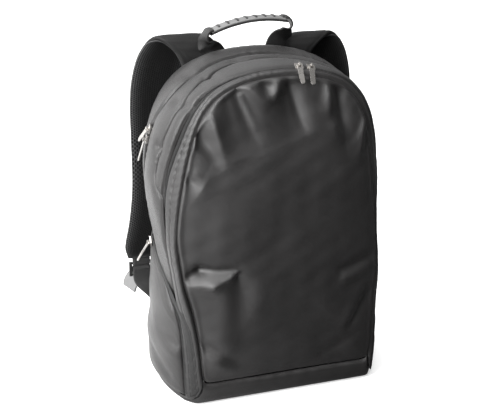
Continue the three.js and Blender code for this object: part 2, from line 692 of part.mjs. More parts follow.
// Each strap's foot: a loop of webbing, the ladder lock and the webbing itself.
function strapFeet() {
  for (const [side, mirror] of [
    ["right", 1],
    ["left", -1],
  ]) {
    const bars = [0, 1, 2].map((i) => {
      const bar = new THREE.CylinderGeometry(lockBar, lockBar, lockWide - 2, 8);
      bar.rotateZ(Math.PI / 2).translate(0, 0, -i * lockPitch);
      return solidOf(bar);
    });
    const sides = [-1, 1].map((hand) => {
      const long = 2 * lockPitch + 2 * lockBar;
      const rail = new THREE.BoxGeometry(lockSide, lockThick, long);
      return solidOf(rail.translate((hand * (lockWide - lockSide)) / 2, 0, -lockPitch));
    });
    const lock = geometryOfSolid(wasm.Manifold.union([...bars, ...sides]));
    const { x, y, z } = lockPlace;
    add(`ladder_lock_${side}`, lock, plastic, new THREE.Matrix4().makeTranslation(mirror * x, y, z));

    const turnRadius = lockBar + 0.4 + webThick / 2;
    const foot = strapFoot.z - 1;
    const loop = [-90, -60, 0, 60, 90].map((degrees) => {
      const angle = THREE.MathUtils.degToRad(degrees);
      return { x, y: y + turnRadius * Math.sin(angle), z: z - turnRadius * Math.cos(angle) };
    });
    const tabRows = [{ ...loop[0], z: foot }, ...loop, { ...loop.at(-1), z: foot }];
    const loopBand = bandAlong(pathOf(tabRows, mirror), () => tabHalf, () => 0, mirror);
    const loopSides = [webThick / 2, -webThick / 2].map((d) => loopBand(0, 1, d));
    add(`strap_tab_${side}`, sheet(...loopSides, 12, 1), binding);

    const web = bandAlong(pathOf(webRows, mirror), () => webHalf, tableAt(webPath, "turn"), mirror);
    add(`webbing_${side}`, sheet(web(0, 1, webThick / 2), web(0, 1, -webThick / 2), webSteps, 1), binding);
    const [grey, from] = [webThick / 2 + seamGap, 1 - tailSteps / webSteps];
    add(`tail_face_${side}`, sheet(web(from, 1, grey + tailFace), web(from, 1, grey), tailSteps, 1), rubber);
  }
}

// The handle's arch: s runs from -1 at its left end to 1 at its right end.
const gripPlace = (s) =>
  vec(gripHalf * s, padFace + gripBehind, height + gripRise + gripTilt * s + gripArch * (1 - s * s));

function gripPiece(from, to, deep, low, high, steps) {
  const face = (distance) => (a, b) => {
    const s = lerp(from, to, a);
    const slope = vec(gripHalf, 0, gripTilt - 2 * gripArch * s).normalize();
    const up = vec(-slope.z, 0, slope.x);
    const round = 1 - 0.25 * Math.pow(2 * b - 1, 2);
    return gripPlace(s)
      .add(vec(0, (b - 0.5) * deep, 0))
      .addScaledVector(up, distance > 0 ? distance * round : distance);
  };
  return sheet(face(high), face(low), steps, deep > underDeep ? 4 : 2);
}

function handle() {
  add("handle_grip", gripPiece(gripShort - 1, 1 - gripShort, gripDeep, 0, gripThick, 14), rubber);
  add("handle_webbing", gripPiece(-1, 1, underDeep, -seamGap - underThick, -seamGap, 14), binding);
  for (let i = 0; i < ribCount; i++) {
    const at = (ribMiddle + ribPitch * (i - (ribCount - 1) / 2)) / gripHalf;
    const half = ribWide / 2 / gripHalf;
    const low = gripThick + 2 * seamGap;
    add(`handle_rib_${i + 1}`, gripPiece(at - half, at + half, ribDeep, low, low + ribThick, 1), binding);
  }
  for (const [side, mirror] of [
    ["right", 1],
    ["left", -1],
  ]) {
    const end = gripPlace(mirror);
    const rows = handleTab.map((row) => ({
      ...row,
      x: gripHalf + row.x,
      y: padFace + row.behind,
      z: end.z - row.down,
    }));
    const band = bandAlong(pathOf(rows, mirror), tableAt(rows, "half"), tableAt(rows, "turn"), mirror);
    const faces = [handleTabThick / 2, -handleTabThick / 2].map((d) => band(0, 1, d));
    add(`handle_tab_${side}`, sheet(...faces, 14, 2), binding);
  }
}

function box(wideX, wideY, wideZ, x, y, z) {
  return solidOf(new THREE.BoxGeometry(wideX, wideY, wideZ).translate(x, y, z));
}

// A slider: the plate lies along the zip, the arch along the pull.
function sliderSolid(zipAngle) {
  const plate = box(plateLong, plateWide, plateThick, 0, 0, plateThick / 2).rotate([0, 0, zipAngle]);
  const top = box(archWide, 2 * (archInner + archWire), archWire, 0, 0, plateThick + archHigh - archWire / 2);
  const legs = [-1, 1].map((side) =>
    box(archWide, archWire, archHigh, 0, side * (archInner + archWire / 2), plateThick + archHigh / 2 - 0.1),
  );
  return wasm.Manifold.union([plate, top, ...legs]);
}

// A pull: a flat tongue whose end bar lies in the arch, along its own X.
function pullGeometry() {
  const half = pullWide / 2;
  const bar = pullThick / 2;
  const tongue = new THREE.Shape();
  tongue.moveTo(-half + 1, -bar).lineTo(half - 1, -bar).lineTo(half, bar + 0.5);
  tongue.absarc(0, pullLong - 3, half - 0.6, 0, Math.PI, false);
  tongue.lineTo(-half, bar + 0.5).closePath();
  const eye = new THREE.Path();
  eye.moveTo(-eyeWide / 2, bar).lineTo(eyeWide / 2, bar).lineTo(eyeWide / 2, bar + eyeLong);
  eye.lineTo(-eyeWide / 2, bar + eyeLong).closePath();
  tongue.holes.push(eye);
  const made = new THREE.ExtrudeGeometry(tongue, { depth: pullThick, bevelEnabled: false, curveSegments: 4 });
  return geometryOfSolid(solidOf(made.translate(0, 0, -pullThick / 2)));
}

// The point of a zip's coil at a share of the bag's width or height, and its frame.
function coilFrame(row) {
  const left = row.zip === "main" || row.zip === "pocket_left";
  let surface;
  let a;
  let rise = zipRise - 0.6;
  if (row.zip.startsWith("pocket")) {
    surface = pocketSurfaces(left ? -1 : 1).tape;
    a = bisect((t) => surface(t, 0.5).z, pocketTop - sliderDown, 0, 1);
    rise = layGap + 1.2 + zipRise + 1.6;
  } else {
    const depth = row.zip === "main" ? mainZip : frontZip;
    rise += row.rise ?? 0;
    surface = (u, b) => bag(u, depth(u) + (b - 0.5) * 0.02);
    const across = (u) => -surface(u, 0.5).x / halfWidth;
    a = row.across === undefined ? 1 - loopAt(row.up * height) : bisect(across, -row.across, 0.3, 0.5);
  }
  const mirrored = row.zip === "pocket_left" ? -1 : 1;
  const along = surface(a + 1e-3, 0.5).sub(surface(a - 1e-3, 0.5)).normalize();
  const out = normalOf(surface, a, 0.5).multiplyScalar(mirrored);
  out.applyAxisAngle(along, -THREE.MathUtils.degToRad(row.tilt ?? 0));
  return { out, along, at: surface(a, 0.5).addScaledVector(out, rise + seamGap) };
}

// The lines that the pulls turn about, in millimetres.
const pullHinges = [];

function sliders() {
  for (const row of sliderRows) {
    const { out, along, at } = coilFrame(row);
    const fall = row.zip === "front" ? vec(0, -1, 0) : vec(0, 0, -1);
    fall.addScaledVector(out, -out.dot(fall)).normalize();
    const hang = fall.applyAxisAngle(out, THREE.MathUtils.degToRad(row.swing));
    const axis = hang.clone().cross(out).normalize();
    const placed = new THREE.Matrix4().makeBasis(axis, hang, out).setPosition(at);
    const zipAngle = THREE.MathUtils.radToDeg(Math.atan2(along.dot(hang), along.dot(axis)));
    add(`slider_${row.name}`, geometryOfSolid(sliderSolid(zipAngle)), metal, placed);
    const lifted = new THREE.Matrix4().makeRotationX(THREE.MathUtils.degToRad(row.lift));
    const raised = new THREE.Matrix4().makeTranslation(0, 0, plateThick + barHigh);
    add(`pull_${row.name}`, pullGeometry(), metal, placed.clone().multiply(raised).multiply(lifted));
    pullHinges.push({
      name: row.name,
      at: at.clone().addScaledVector(out, plateThick + barHigh),
      axis,
      out,
      hang,
    });
  }
}

gussets();
zips();
base();
frontPanel();
backPanel();
sidePockets();
straps();
strapFeet();
handle();
sliders();

export default backpack;
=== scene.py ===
# %% [markdown]
# # A laptop backpack of black coated cloth
#
# The bag stands on its base, a little slumped, with its front zipped over a puckered panel.
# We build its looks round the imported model: the hard model gives every place and size,
# and this notebook adds what cloth does. It rolls into its seams, wrinkles where it is
# pulled, and shines like satin where the light grazes it.

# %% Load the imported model
import math

import bmesh
import bpy
import numpy as np
from mathutils import Matrix, Vector


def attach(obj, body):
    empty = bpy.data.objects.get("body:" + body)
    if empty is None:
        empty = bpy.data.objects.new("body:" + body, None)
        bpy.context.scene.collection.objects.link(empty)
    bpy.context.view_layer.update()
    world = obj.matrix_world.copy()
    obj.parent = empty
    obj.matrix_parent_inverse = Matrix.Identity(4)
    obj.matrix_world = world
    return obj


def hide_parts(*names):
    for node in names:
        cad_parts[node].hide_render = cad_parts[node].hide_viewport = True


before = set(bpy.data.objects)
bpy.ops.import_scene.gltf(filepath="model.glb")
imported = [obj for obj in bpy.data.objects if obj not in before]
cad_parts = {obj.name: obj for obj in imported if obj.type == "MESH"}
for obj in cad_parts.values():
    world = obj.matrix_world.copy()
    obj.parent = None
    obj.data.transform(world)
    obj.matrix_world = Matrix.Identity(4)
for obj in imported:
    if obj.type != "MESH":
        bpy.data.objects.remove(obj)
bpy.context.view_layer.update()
MM = 0.001

# %% [markdown]
# ## The camera
#
# The photograph was taken from a little above and from the left, with a long lens. Its
# place comes from the corners and seams that can be found both in the picture and on the
# model. A turn about the line of sight is part of the fit, because the horizon isn't level.

# %% Camera
YAW, PITCH, ROLL = (math.radians(a) for a in (19.5, 21.9, 1.05))
DISTANCE, FOCAL = 1.477, 79.3
AIM = Vector((-0.020, 0.0, 0.2487))


def make_camera():
    back = Vector((-math.sin(YAW) * math.cos(PITCH), -math.cos(YAW) * math.cos(PITCH), math.sin(PITCH)))
    right = (-back).cross(Vector((0, 0, 1))).normalized()
    up = right.cross(-back)
    turned_right = right * math.cos(ROLL) + up * math.sin(ROLL)
    turned_up = up * math.cos(ROLL) - right * math.sin(ROLL)
    place = Matrix((turned_right, turned_up, back)).transposed().to_4x4()
    place.translation = AIM + back * DISTANCE
    lens = bpy.data.cameras.new("camera")
    lens.lens, lens.sensor_width, lens.sensor_fit = FOCAL, 36, "HORIZONTAL"
    camera = bpy.data.objects.new("camera", lens)
    camera.matrix_world = place
    bpy.context.scene.collection.objects.link(camera)
    bpy.context.scene.camera = camera
    return camera


camera = make_camera()
print("camera at", [round(c, 3) for c in camera.location])

# %% [markdown]
# ## Smooth curves through tables
#
# A bag maker describes a bag by its sections: so wide at this height, so deep at that one.
# We keep such tables and draw smooth curves through them. One kind of curve runs through
# a table's column without overshooting, and the other through points in space.

# %% Curves
def lerp(a, b, t):
    return a + (b - a) * t


def table_curve(rows, key, value):
    """A smooth curve through two columns of a table that never overshoots a row."""
    at = np.array([row[key] for row in rows], float)
    level = np.array([row[value] for row in rows], float)
    step = np.diff(level) / np.maximum(np.diff(at), 1e-12)
    product, total = step[:-1] * step[1:], step[:-1] + step[1:]
    inner = np.where(product > 0, 2 * product / np.where(product > 0, total, 1), 0)
    slope = np.concatenate([step[:1], inner, step[-1:]])

    def curve(x):
        i = np.clip(np.searchsorted(at, x, side="left"), 1, len(at) - 1)
        span = at[i] - at[i - 1]
        t = np.clip((x - at[i - 1]) / span, 0, 1)
        bend = t * t * (3 - 2 * t)
        tails = t * (1 - t) ** 2 * span * slope[i - 1] + t * t * (t - 1) * span * slope[i]
        return lerp(level[i - 1], level[i], bend) + tails

    return curve


class Spline:
    """A centripetal curve through points; each point has an even share of the parameter."""

    def __init__(self, points, closed=False):
        points = np.array(points, float)
        if closed:
            ends = points[-1:], points[:2]
        else:
            ends = 2 * points[:1] - points[1:2], 2 * points[-1:] - points[-2:-1]
        self.points = np.vstack([ends[0], points, ends[1]])
        self.spans = len(points) if closed else len(points) - 1

    def __call__(self, t):
        at = self.spans * np.asarray(t, float)
        i = np.clip(np.floor(at).astype(int), 0, self.spans - 1)
        w = (at - i)[..., None]
        p, q, r, s = (self.points[i + k] for k in range(4))
        d, e, f = (np.sum((b - a) ** 2, -1, keepdims=True) ** 0.25 for a, b in ((p, q), (q, r), (r, s)))
        leave = ((q - p) / d - (r - p) / (d + e) + (r - q) / e) * e
        arrive = ((r - q) / e - (s - q) / (e + f) + (s - r) / f) * e
        return q + leave * w + (3 * (r - q) - 2 * leave - arrive) * w**2 + (2 * (q - r) + leave + arrive) * w**3

    def tangent(self, t):
        t = np.asarray(t, float)
        along = self(np.minimum(t + 1e-4, 1)) - self(np.maximum(t - 1e-4, 0))
        return along / np.linalg.norm(along, axis=-1, keepdims=True)


print("curve test", round(float(table_curve([(0, 0), (1, 1), (2, 4)], 0, 1)(1.5)), 3))

# %% [markdown]
# ## The skin of the bag
#
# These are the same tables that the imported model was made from, so each cloth lies where
# its solid does. All lengths are millimetres until a mesh is made. A place on the skin has
# two numbers: `u` goes once round the outline, from the middle of the base up the right
# side, and `v` goes from the back seam to the front seam.

# %% Sizes and the skin
HEIGHT, HALF_WIDTH = 455, 159
BACK_Y, FRONT_BOTTOM, FRONT_TOP = 75, -80, -61
CROWN = 22
OUTLINE = [  # share of height, half width of the bag, half width of its front seam
    (0, 0, 0), (0, 0.5, 0.4), (0, 0.91, 0.69), (0.004, 0.945, 0.73), (0.02, 0.955, 0.75), (0.06, 0.95, 0.765),
    (0.15, 0.935, 0.78), (0.25, 0.91, 0.81), (0.35, 0.9, 0.85), (0.45, 0.915, 0.862), (0.53, 0.95, 0.86),
    (0.61, 0.985, 0.84), (0.68, 1, 0.81), (0.745, 0.98, 0.78), (0.8, 0.948, 0.75), (0.85, 0.9, 0.712),
    (0.9, 0.815, 0.65), (0.945, 0.68, 0.545), (0.975, 0.5, 0.405), (0.994, 0.26, 0.21), (1, 0, 0),
]
STATIONS = [  # depth, share of the front outline, narrowing, drop of the top, lift of the bottom
    (0, 0, 0.125, 0.012, 0.004), (0.1, 0, 0.07, 0.002, 0), (0.3, 0.02, 0.02, 0.01, 0), (0.55, 0.12, 0, 0.01, 0),
    (0.8, 0.38, 0, 0.008, 0), (0.9, 0.66, 0, 0.009, 0.003), (0.95, 0.83, 0, 0.012, 0.018),
    (0.98, 0.94, 0, 0.016, 0.042), (1, 1, 0, 0.018, 0.082),
]
ASKEW = [(0, 11), (0.1, 10), (0.25, 7), (0.4, 0), (0.53, -5), (0.7, -4), (0.85, -1), (1, 0)]
to_front, narrowing, drop, lift = (table_curve(STATIONS, 0, k) for k in (1, 2, 3, 4))
sway = table_curve(ASKEW, 0, 1)


def outline_loop(column):
    right = [(row[column] * HALF_WIDTH, 0, row[0] * HEIGHT) for row in OUTLINE]
    return Spline(right + [(-x, y, z) for x, y, z in right[-2:0:-1]], closed=True)


body_loop, front_loop = outline_loop(1), outline_loop(2)
PACE = np.linspace(0, 1, 601)
run_so_far = np.concatenate([[0], np.cumsum(np.linalg.norm(np.diff(body_loop(PACE), axis=0), axis=1))])
LOOP_LENGTH = run_so_far[-1]


def depth_at(z):
    return BACK_Y - lerp(FRONT_BOTTOM, FRONT_TOP, z / HEIGHT)


def bag(u, v):
    """Points of the skin: u round the outline, v from the back seam to the front seam."""
    u, v = np.broadcast_arrays(np.asarray(u, float), np.asarray(v, float))
    t = np.interp(np.mod(u, 1), run_so_far / LOOP_LENGTH, PACE)
    body, front = body_loop(t), front_loop(t)
    share = to_front(v)
    up = np.maximum(0, lerp(body[..., 2], front[..., 2], share)) / HEIGHT
    x = lerp(body[..., 0], front[..., 0], share) * (1 - narrowing(v)) + sway(up) * v
    z = lerp(lift(v), 1 - drop(v), up) * HEIGHT
    return np.stack([x, BACK_Y - v * depth_at(z), z], -1)


def outward(surface, a, b):
    """The direction that points away from a surface, from its neighbouring points."""
    step = 1e-3
    along = surface(a + step, b) - surface(a - step, b)
    across = surface(a, np.minimum(b + step, 1)) - surface(a, np.maximum(b - step, 0))
    normal = np.cross(along, across)
    return normal / np.linalg.norm(normal, axis=-1, keepdims=True)


print("once round the bag is", round(LOOP_LENGTH), "mm; top of the arch at", bag(0.5, 0.5).round(1))

# %% [markdown]
# ## The seams
#
# The main arch is one long gusset with two zips in it. The seams run along the loop at
# depths that a third table gives: the main zip, the back seam of the front pocket's wedge,
# and the front zip. The strips meet the base panel at the same share of the loop.

# %% Seams
SEAMS = [  # share of height, then depth of the main zip, the wedge's rear seam and the front zip
    (0, 0.3, 0.82, 0.82), (0.622, 0.3, 0.82, 0.82), (0.659, 0.3, 0.73, 0.822), (0.705, 0.3, 0.66, 0.83),
    (0.765, 0.3, 0.66, 0.855), (0.831, 0.35, 0.695, 0.88), (0.886, 0.42, 0.71, 0.885), (0.925, 0.43, 0.69, 0.885),
    (0.958, 0.38, 0.62, 0.885), (0.98, 0.3, 0.51, 0.885), (0.991, 0.27, 0.45, 0.885),
]
ZIP_TAPE, SEAM_GAP, LAY_GAP = 6, 0.3, 1.3
BASE_SEAM, FRONT_EDGE = 0.112, 0.9985
LOOP_COLS = 40


def height_at(u):
    return bag(u, 0.5)[..., 2]


def share_of(wide, u):
    """A width in millimetres as a share of the bag's depth at u."""
    return wide / depth_at(height_at(u))


def depth_of(column):
    curve = table_curve(SEAMS, 0, column)
    return lambda u: curve(height_at(u) / HEIGHT)


main_zip, wedge_rear, front_zip = (depth_of(k) for k in (1, 2, 3))
RIGHT_SIDE = np.linspace(BASE_SEAM, 0.5, 2001)
right_heights = height_at(RIGHT_SIDE)


def loop_at(z):
    """The place on the right side of the loop that is z above the floor."""
    return np.interp(z, right_heights, RIGHT_SIDE)


def loop_place(i):
    return lerp(BASE_SEAM, 1 - BASE_SEAM, i / LOOP_COLS)


wedge_gap = np.array([front_zip(loop_place(i)) - share_of(ZIP_TAPE / 2 + 4, loop_place(i)) for i in range(20)])
WEDGE_FIRST = int(np.argmax([wedge_rear(loop_place(i)) < wedge_gap[i] for i in range(20)]))
print("the wedge pocket starts", round(float(height_at(loop_place(WEDGE_FIRST)))), "mm above the floor")

# %% [markdown]
# ## How cloth lies
#
# A sewn strip isn't flat. Its edges turn down into the seam, it stands a little proud
# between them, and the thread gathers it into puckers that fade within a finger's width.
# Long soft ripples come from a few sine waves with fixed random directions, and each big
# fold is a line in space that pushes the cloth out or lets it in.

# %% Ripples and folds
def ripples(s, w, seed, length, count=7):
    """Soft unevenness between -1 and 1 over two coordinates in millimetres."""
    draw = np.random.default_rng(seed)
    total = np.zeros(np.broadcast(s, w).shape)
    for _ in range(count):
        angle, phase = draw.uniform(0, math.pi), draw.uniform(0, 2 * math.pi)
        pitch = length * draw.uniform(0.6, 1.7)
        total = total + np.sin(2 * math.pi * (s * math.cos(angle) + w * math.sin(angle)) / pitch + phase)
    return total / math.sqrt(count * 2)


def puckers(s, seed, length):
    """The thread's gathering along a seam: uneven waves of one coordinate."""
    slow = ripples(s, 0 * s, seed, 7 * length, 4)
    return ripples(s, 0 * s, seed + 1, length, 5) * (0.6 + 0.5 * slow)


def fold_push(points, folds, spread=0.0):
    """How far the folds move each point outward. A fold runs from one point to another;
    with spread it widens and dies away along its run, as a gather does."""
    push = np.zeros(points.shape[:-1])
    for start, end, wide, rise, sharp in folds:
        start, run = np.array(start, float), np.subtract(end, start).astype(float)
        t = np.clip((points - start) @ run / (run @ run), 0, 1)
        away = np.linalg.norm(points - start - t[..., None] * run, axis=-1)
        width = lerp(*wide, t) * (1 + spread * t)
        push += lerp(*rise, t) * (1 - min(spread, 0.9) * t**2) * np.exp(-((away / width) ** sharp))
    return push


def sewn(s, w, wide, seed, puff=2.2, pucker=0.8, roll=4.0):
    """The rise of a sewn strip over its skin, from its place along and across."""
    edge = np.clip(np.minimum(w, wide - w), 0, None)
    rolled = -roll * np.exp(-((edge / 1.8) ** 2))
    proud = puff * (1 - np.exp(-edge / 8)) + 0.35 * puff * ripples(s, w, seed, 70)
    gathered = pucker * puckers(s, seed + 3, 9) * np.exp(-edge / 10) * (1 - np.exp(-edge / 1.5))
    return rolled + proud * (1 - np.exp(-edge / 5)) + gathered


print("pucker heights", puckers(np.arange(0, 40, 10.0), 5, 9).round(2))

# %% [markdown]
# ## Meshes from grids
#
# A sheet of cloth becomes a grid of points with a map in metres of the cloth itself, so a
# weave can follow it. An attribute called `edge` tells the finishes how near the seam is.
# Solidify gives a sheet its wall, inward from the skin.

# %% Mesh helpers
def grid_faces(cols, rows, first=0):
    i, j = np.meshgrid(np.arange(cols), np.arange(rows), indexing="ij")
    k = first + i * (rows + 1) + j
    return np.stack([k, k + rows + 1, k + rows + 2, k + 1], -1).reshape(-1, 4)


def mesh_object(name, points, faces, cloth_map=None, edge=None):
    """A new object from points in millimetres; the cloth's map is in millimetres too."""
    mesh = bpy.data.meshes.new(name)
    mesh.from_pydata((np.asarray(points) * MM).tolist(), [], [list(map(int, f)) for f in faces])
    corners = np.empty(len(mesh.loops), np.int32)
    mesh.loops.foreach_get("vertex_index", corners)
    if cloth_map is not None:
        layer = mesh.uv_layers.new(name="cloth")
        layer.data.foreach_set("uv", (np.asarray(cloth_map) * MM)[corners].astype(np.float32).ravel())
    worn = mesh.attributes.new("edge", "FLOAT", "POINT")
    worn.data.foreach_set("value", np.zeros(len(points), np.float32) if edge is None else edge.astype(np.float32))
    mesh.shade_smooth()
    made = bpy.data.objects.new(name, mesh)
    bpy.context.scene.collection.objects.link(made)
    return made


def add_wall(piece, thick):
    wall = piece.modifiers.new("wall", "SOLIDIFY")
    wall.thickness, wall.offset, wall.use_even_offset = thick * MM, -1, True
    return piece


def slab(name, upper, under, cols, rows, size):
    """A closed piece between two surfaces over the same places a and b."""
    a, b = np.meshgrid(np.linspace(0, 1, cols + 1), np.linspace(0, 1, rows + 1), indexing="ij")
    points = np.vstack([side(a, b).reshape(-1, 3) for side in (upper, under)])
    count, step = (cols + 1) * (rows + 1), rows + 1
    top = grid_faces(cols, rows)
    i, j = np.arange(cols) * step, np.arange(rows)
    far, last = i + rows, cols * step + j
    rims = [
        np.stack([i, count + i, count + i + step, i + step], -1),
        np.stack([far, far + step, count + far + step, count + far], -1),
        np.stack([j, j + 1, count + j + 1, count + j], -1),
        np.stack([last, count + last, count + last + 1, last + 1], -1),
    ]
    faces = np.vstack([top, top[:, ::-1] + count, *rims])
    corner = points[faces]
    volume = np.einsum("ij,ij->i", corner[:, 0], np.cross(corner[:, 1], corner[:, 2]) + np.cross(
        corner[:, 2], corner[:, 3])).sum()
    if volume < 0:
        faces = faces[:, ::-1]
    cloth_map = np.tile(np.stack([a * size[0], b * size[1]], -1).reshape(-1, 2), (2, 1))
    near = np.tile(np.minimum(np.minimum(b, 1 - b) * size[1], np.minimum(a, 1 - a) * size[0]).ravel(), 2)
    return mesh_object(name, points, faces, cloth_map, np.exp(-near / 2))


def soften(piece, wide, segments=2):
    """Rounds a piece's sharp edges, as cutting and pressing do."""
    bevel = piece.modifiers.new("soft edges", "BEVEL")
    bevel.width, bevel.segments, bevel.limit_method = wide * MM, segments, "ANGLE"
    bevel.angle_limit = math.radians(40)
    return piece


def keep(piece, material, slot, *nodes, body="bag"):
    """Gives a finished piece its material and its place in the model."""
    piece.data.materials.clear()
    piece.data.materials.append(material)
    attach(piece, body)
    if nodes:
        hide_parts(*nodes)
    return piece


print("helpers ready")

# %% [markdown]
# ## Node tools
#
# Each finish is a tree of nodes. One small function adds a node, sets its values and
# links what is already a socket, so a tree reads like a recipe.

# %% A recipe for nodes
def put(tree, kind, inputs=None, **settings):
    made = tree.nodes.new(kind)
    for key, value in settings.items():
        setattr(made, key, value)
    for key, value in (inputs or {}).items():
        if isinstance(value, bpy.types.NodeSocket):
            tree.links.new(value, made.inputs[key])
        else:
            made.inputs[key].default_value = value
    return made


def math_of(tree, operation, *values):
    return put(tree, "ShaderNodeMath", dict(enumerate(values)), operation=operation).outputs[0]


def new_group(name, inputs, outputs, kind="ShaderNodeTree"):
    group = bpy.data.node_groups.new(name, kind)
    for direction, sockets in (("INPUT", inputs), ("OUTPUT", outputs)):
        for label, socket, *value in sockets:
            made = group.interface.new_socket(name=label, in_out=direction, socket_type=socket)
            if value:
                made.default_value = value[0]
    return group, group.nodes.new("NodeGroupInput").outputs, group.nodes.new("NodeGroupOutput").inputs


NUMBER, POINT = "NodeSocketFloat", "NodeSocketVector"
print("recipe ready")

# %% [markdown]
# ### Woven threads
#
# Plain weave is two sets of round threads that pass over and under each other. Seen
# from above each square of the cloth shows one thread or the other, like a chessboard.

# %% Woven threads group
def woven_threads():
    group, given, result = new_group(
        "Woven threads",
        [("Place", POINT), ("Pitch", NUMBER, 0.0005)],
        [("Height", NUMBER), ("Gap", NUMBER)],
    )
    scaled = put(group, "ShaderNodeVectorMath", {0: given["Place"], "Scale": math_of(
        group, "DIVIDE", 1.0, given["Pitch"])}, operation="SCALE")
    parts = put(group, "ShaderNodeSeparateXYZ", {0: scaled.outputs[0]}).outputs
    waves = [math_of(group, "ABSOLUTE", math_of(group, "SINE", math_of(group, "MULTIPLY", axis, math.pi)))
             for axis in (parts["X"], parts["Y"])]
    squares = math_of(group, "ADD", math_of(group, "FLOOR", parts["X"]), math_of(group, "FLOOR", parts["Y"]))
    odd = math_of(group, "FLOORED_MODULO", squares, 2.0)
    warp = math_of(group, "MULTIPLY", waves[0], math_of(group, "SUBTRACT", 1.0, odd))
    weft = math_of(group, "MULTIPLY", waves[1], odd)
    height = math_of(group, "POWER", math_of(group, "ADD", warp, weft), 0.6)
    group.links.new(height, result["Height"])
    group.links.new(math_of(group, "SUBTRACT", 1.0, height), result["Gap"])
    return group


# %% [markdown]
# ### Uneven tone and scuffed edges
#
# Coated cloth is never one even black. It has faint cloudy patches from handling, and it
# rubs paler and duller along folds and seams.

# %% Tone and scuff groups
def uneven_tone():
    group, given, result = new_group(
        "Uneven tone",
        [("Place", POINT), ("Patch size", NUMBER, 0.05), ("Grain size", NUMBER, 0.002)],
        [("Tone", NUMBER), ("Grain", NUMBER)],
    )
    for size, name in (("Patch size", "Tone"), ("Grain size", "Grain")):
        scale = math_of(group, "DIVIDE", 1.0, given[size])
        noise = put(group, "ShaderNodeTexNoise", {"Vector": given["Place"], "Scale": scale, "Detail": 3.0})
        group.links.new(noise.outputs[0], result[name])
    return group


def scuffed_edge():
    group, given, result = new_group(
        "Scuffed edge",
        [("Place", POINT), ("Edge", NUMBER), ("Reach", NUMBER, 0.5)],
        [("Scuff", NUMBER)],
    )
    noise = put(group, "ShaderNodeTexNoise", {"Vector": given["Place"], "Scale": 260.0, "Detail": 4.0})
    broken = math_of(group, "MULTIPLY", noise.outputs[0], given["Edge"])
    rubbed = put(group, "ShaderNodeMapRange", {0: broken, 1: 0.25, 2: given["Reach"], 3: 0.0, 4: 1.0})
    group.links.new(rubbed.outputs[0], result["Scuff"])
    return group


# %% [markdown]
# ### Open knit
#
# Air mesh is a spongy knit with rows of round holes. The holes are dark, and near the bound
# edge the threads between them are painted paler: a painted highlight where the light catches them.

# %% Open knit group
def open_knit():
    group, given, result = new_group(
        "Open knit",
        [("Place", POINT), ("Pitch", NUMBER, 0.003)],
        [("Hole", NUMBER), ("Height", NUMBER)],
    )
    scaled = put(group, "ShaderNodeVectorMath", {0: given["Place"], "Scale": math_of(
        group, "DIVIDE", 1.0, given["Pitch"])}, operation="SCALE")
    parts = put(group, "ShaderNodeSeparateXYZ", {0: scaled.outputs[0]}).outputs
    row = math_of(group, "FLOORED_MODULO", math_of(group, "FLOOR", parts["Y"]), 2.0)
    shifted = math_of(group, "ADD", parts["X"], math_of(group, "MULTIPLY", row, 0.5))
    from_middle = [math_of(group, "SUBTRACT", math_of(group, "FRACT", axis), 0.5) for axis in (shifted, parts["Y"])]
    squares = [math_of(group, "POWER", math_of(group, "ABSOLUTE", part), 2.0) for part in from_middle]
    away = math_of(group, "SQRT", math_of(group, "ADD", *squares))
    hole = put(group, "ShaderNodeMapRange", {0: away, 1: 0.3, 2: 0.42, 3: 1.0, 4: 0.0})
    group.links.new(hole.outputs[0], result["Hole"])
    group.links.new(math_of(group, "SUBTRACT", 1.0, hole.outputs[0]), result["Height"])
    return group


woven, toned, scuffed, knitted = woven_threads(), uneven_tone(), scuffed_edge(), open_knit()
print("groups:", [g.name for g in (woven, toned, scuffed, knitted)])

# %% [markdown]
# ## The finishes
#
# One function mixes a finish from two colours, a weave and a roughness. The cloth has a
# fine satin coat, webbing is dull with a coarse weave, and the binding lies between them.

# %% Cloth-like finishes
def start_material(name, colour, roughness, **constants):
    material = bpy.data.materials.new(name)
    material.use_nodes = True
    tree = material.node_tree
    shader = tree.nodes["Principled BSDF"]
    shader.inputs["Base Color"].default_value = (*colour, 1)
    shader.inputs["Roughness"].default_value = roughness
    for key, value in constants.items():
        shader.inputs[key.replace("_", " ")].default_value = value
    return material, tree, shader


def blend_colour(tree, factor, dark, pale):
    mix = put(tree, "ShaderNodeMix", data_type="RGBA")
    for socket in (s for s in mix.inputs if s.type == "RGBA"):
        socket.default_value = (*(dark if socket.name == "A" else pale), 1)
    tree.links.new(factor, mix.inputs["Factor"])
    return next(s for s in mix.outputs if s.type == "RGBA")


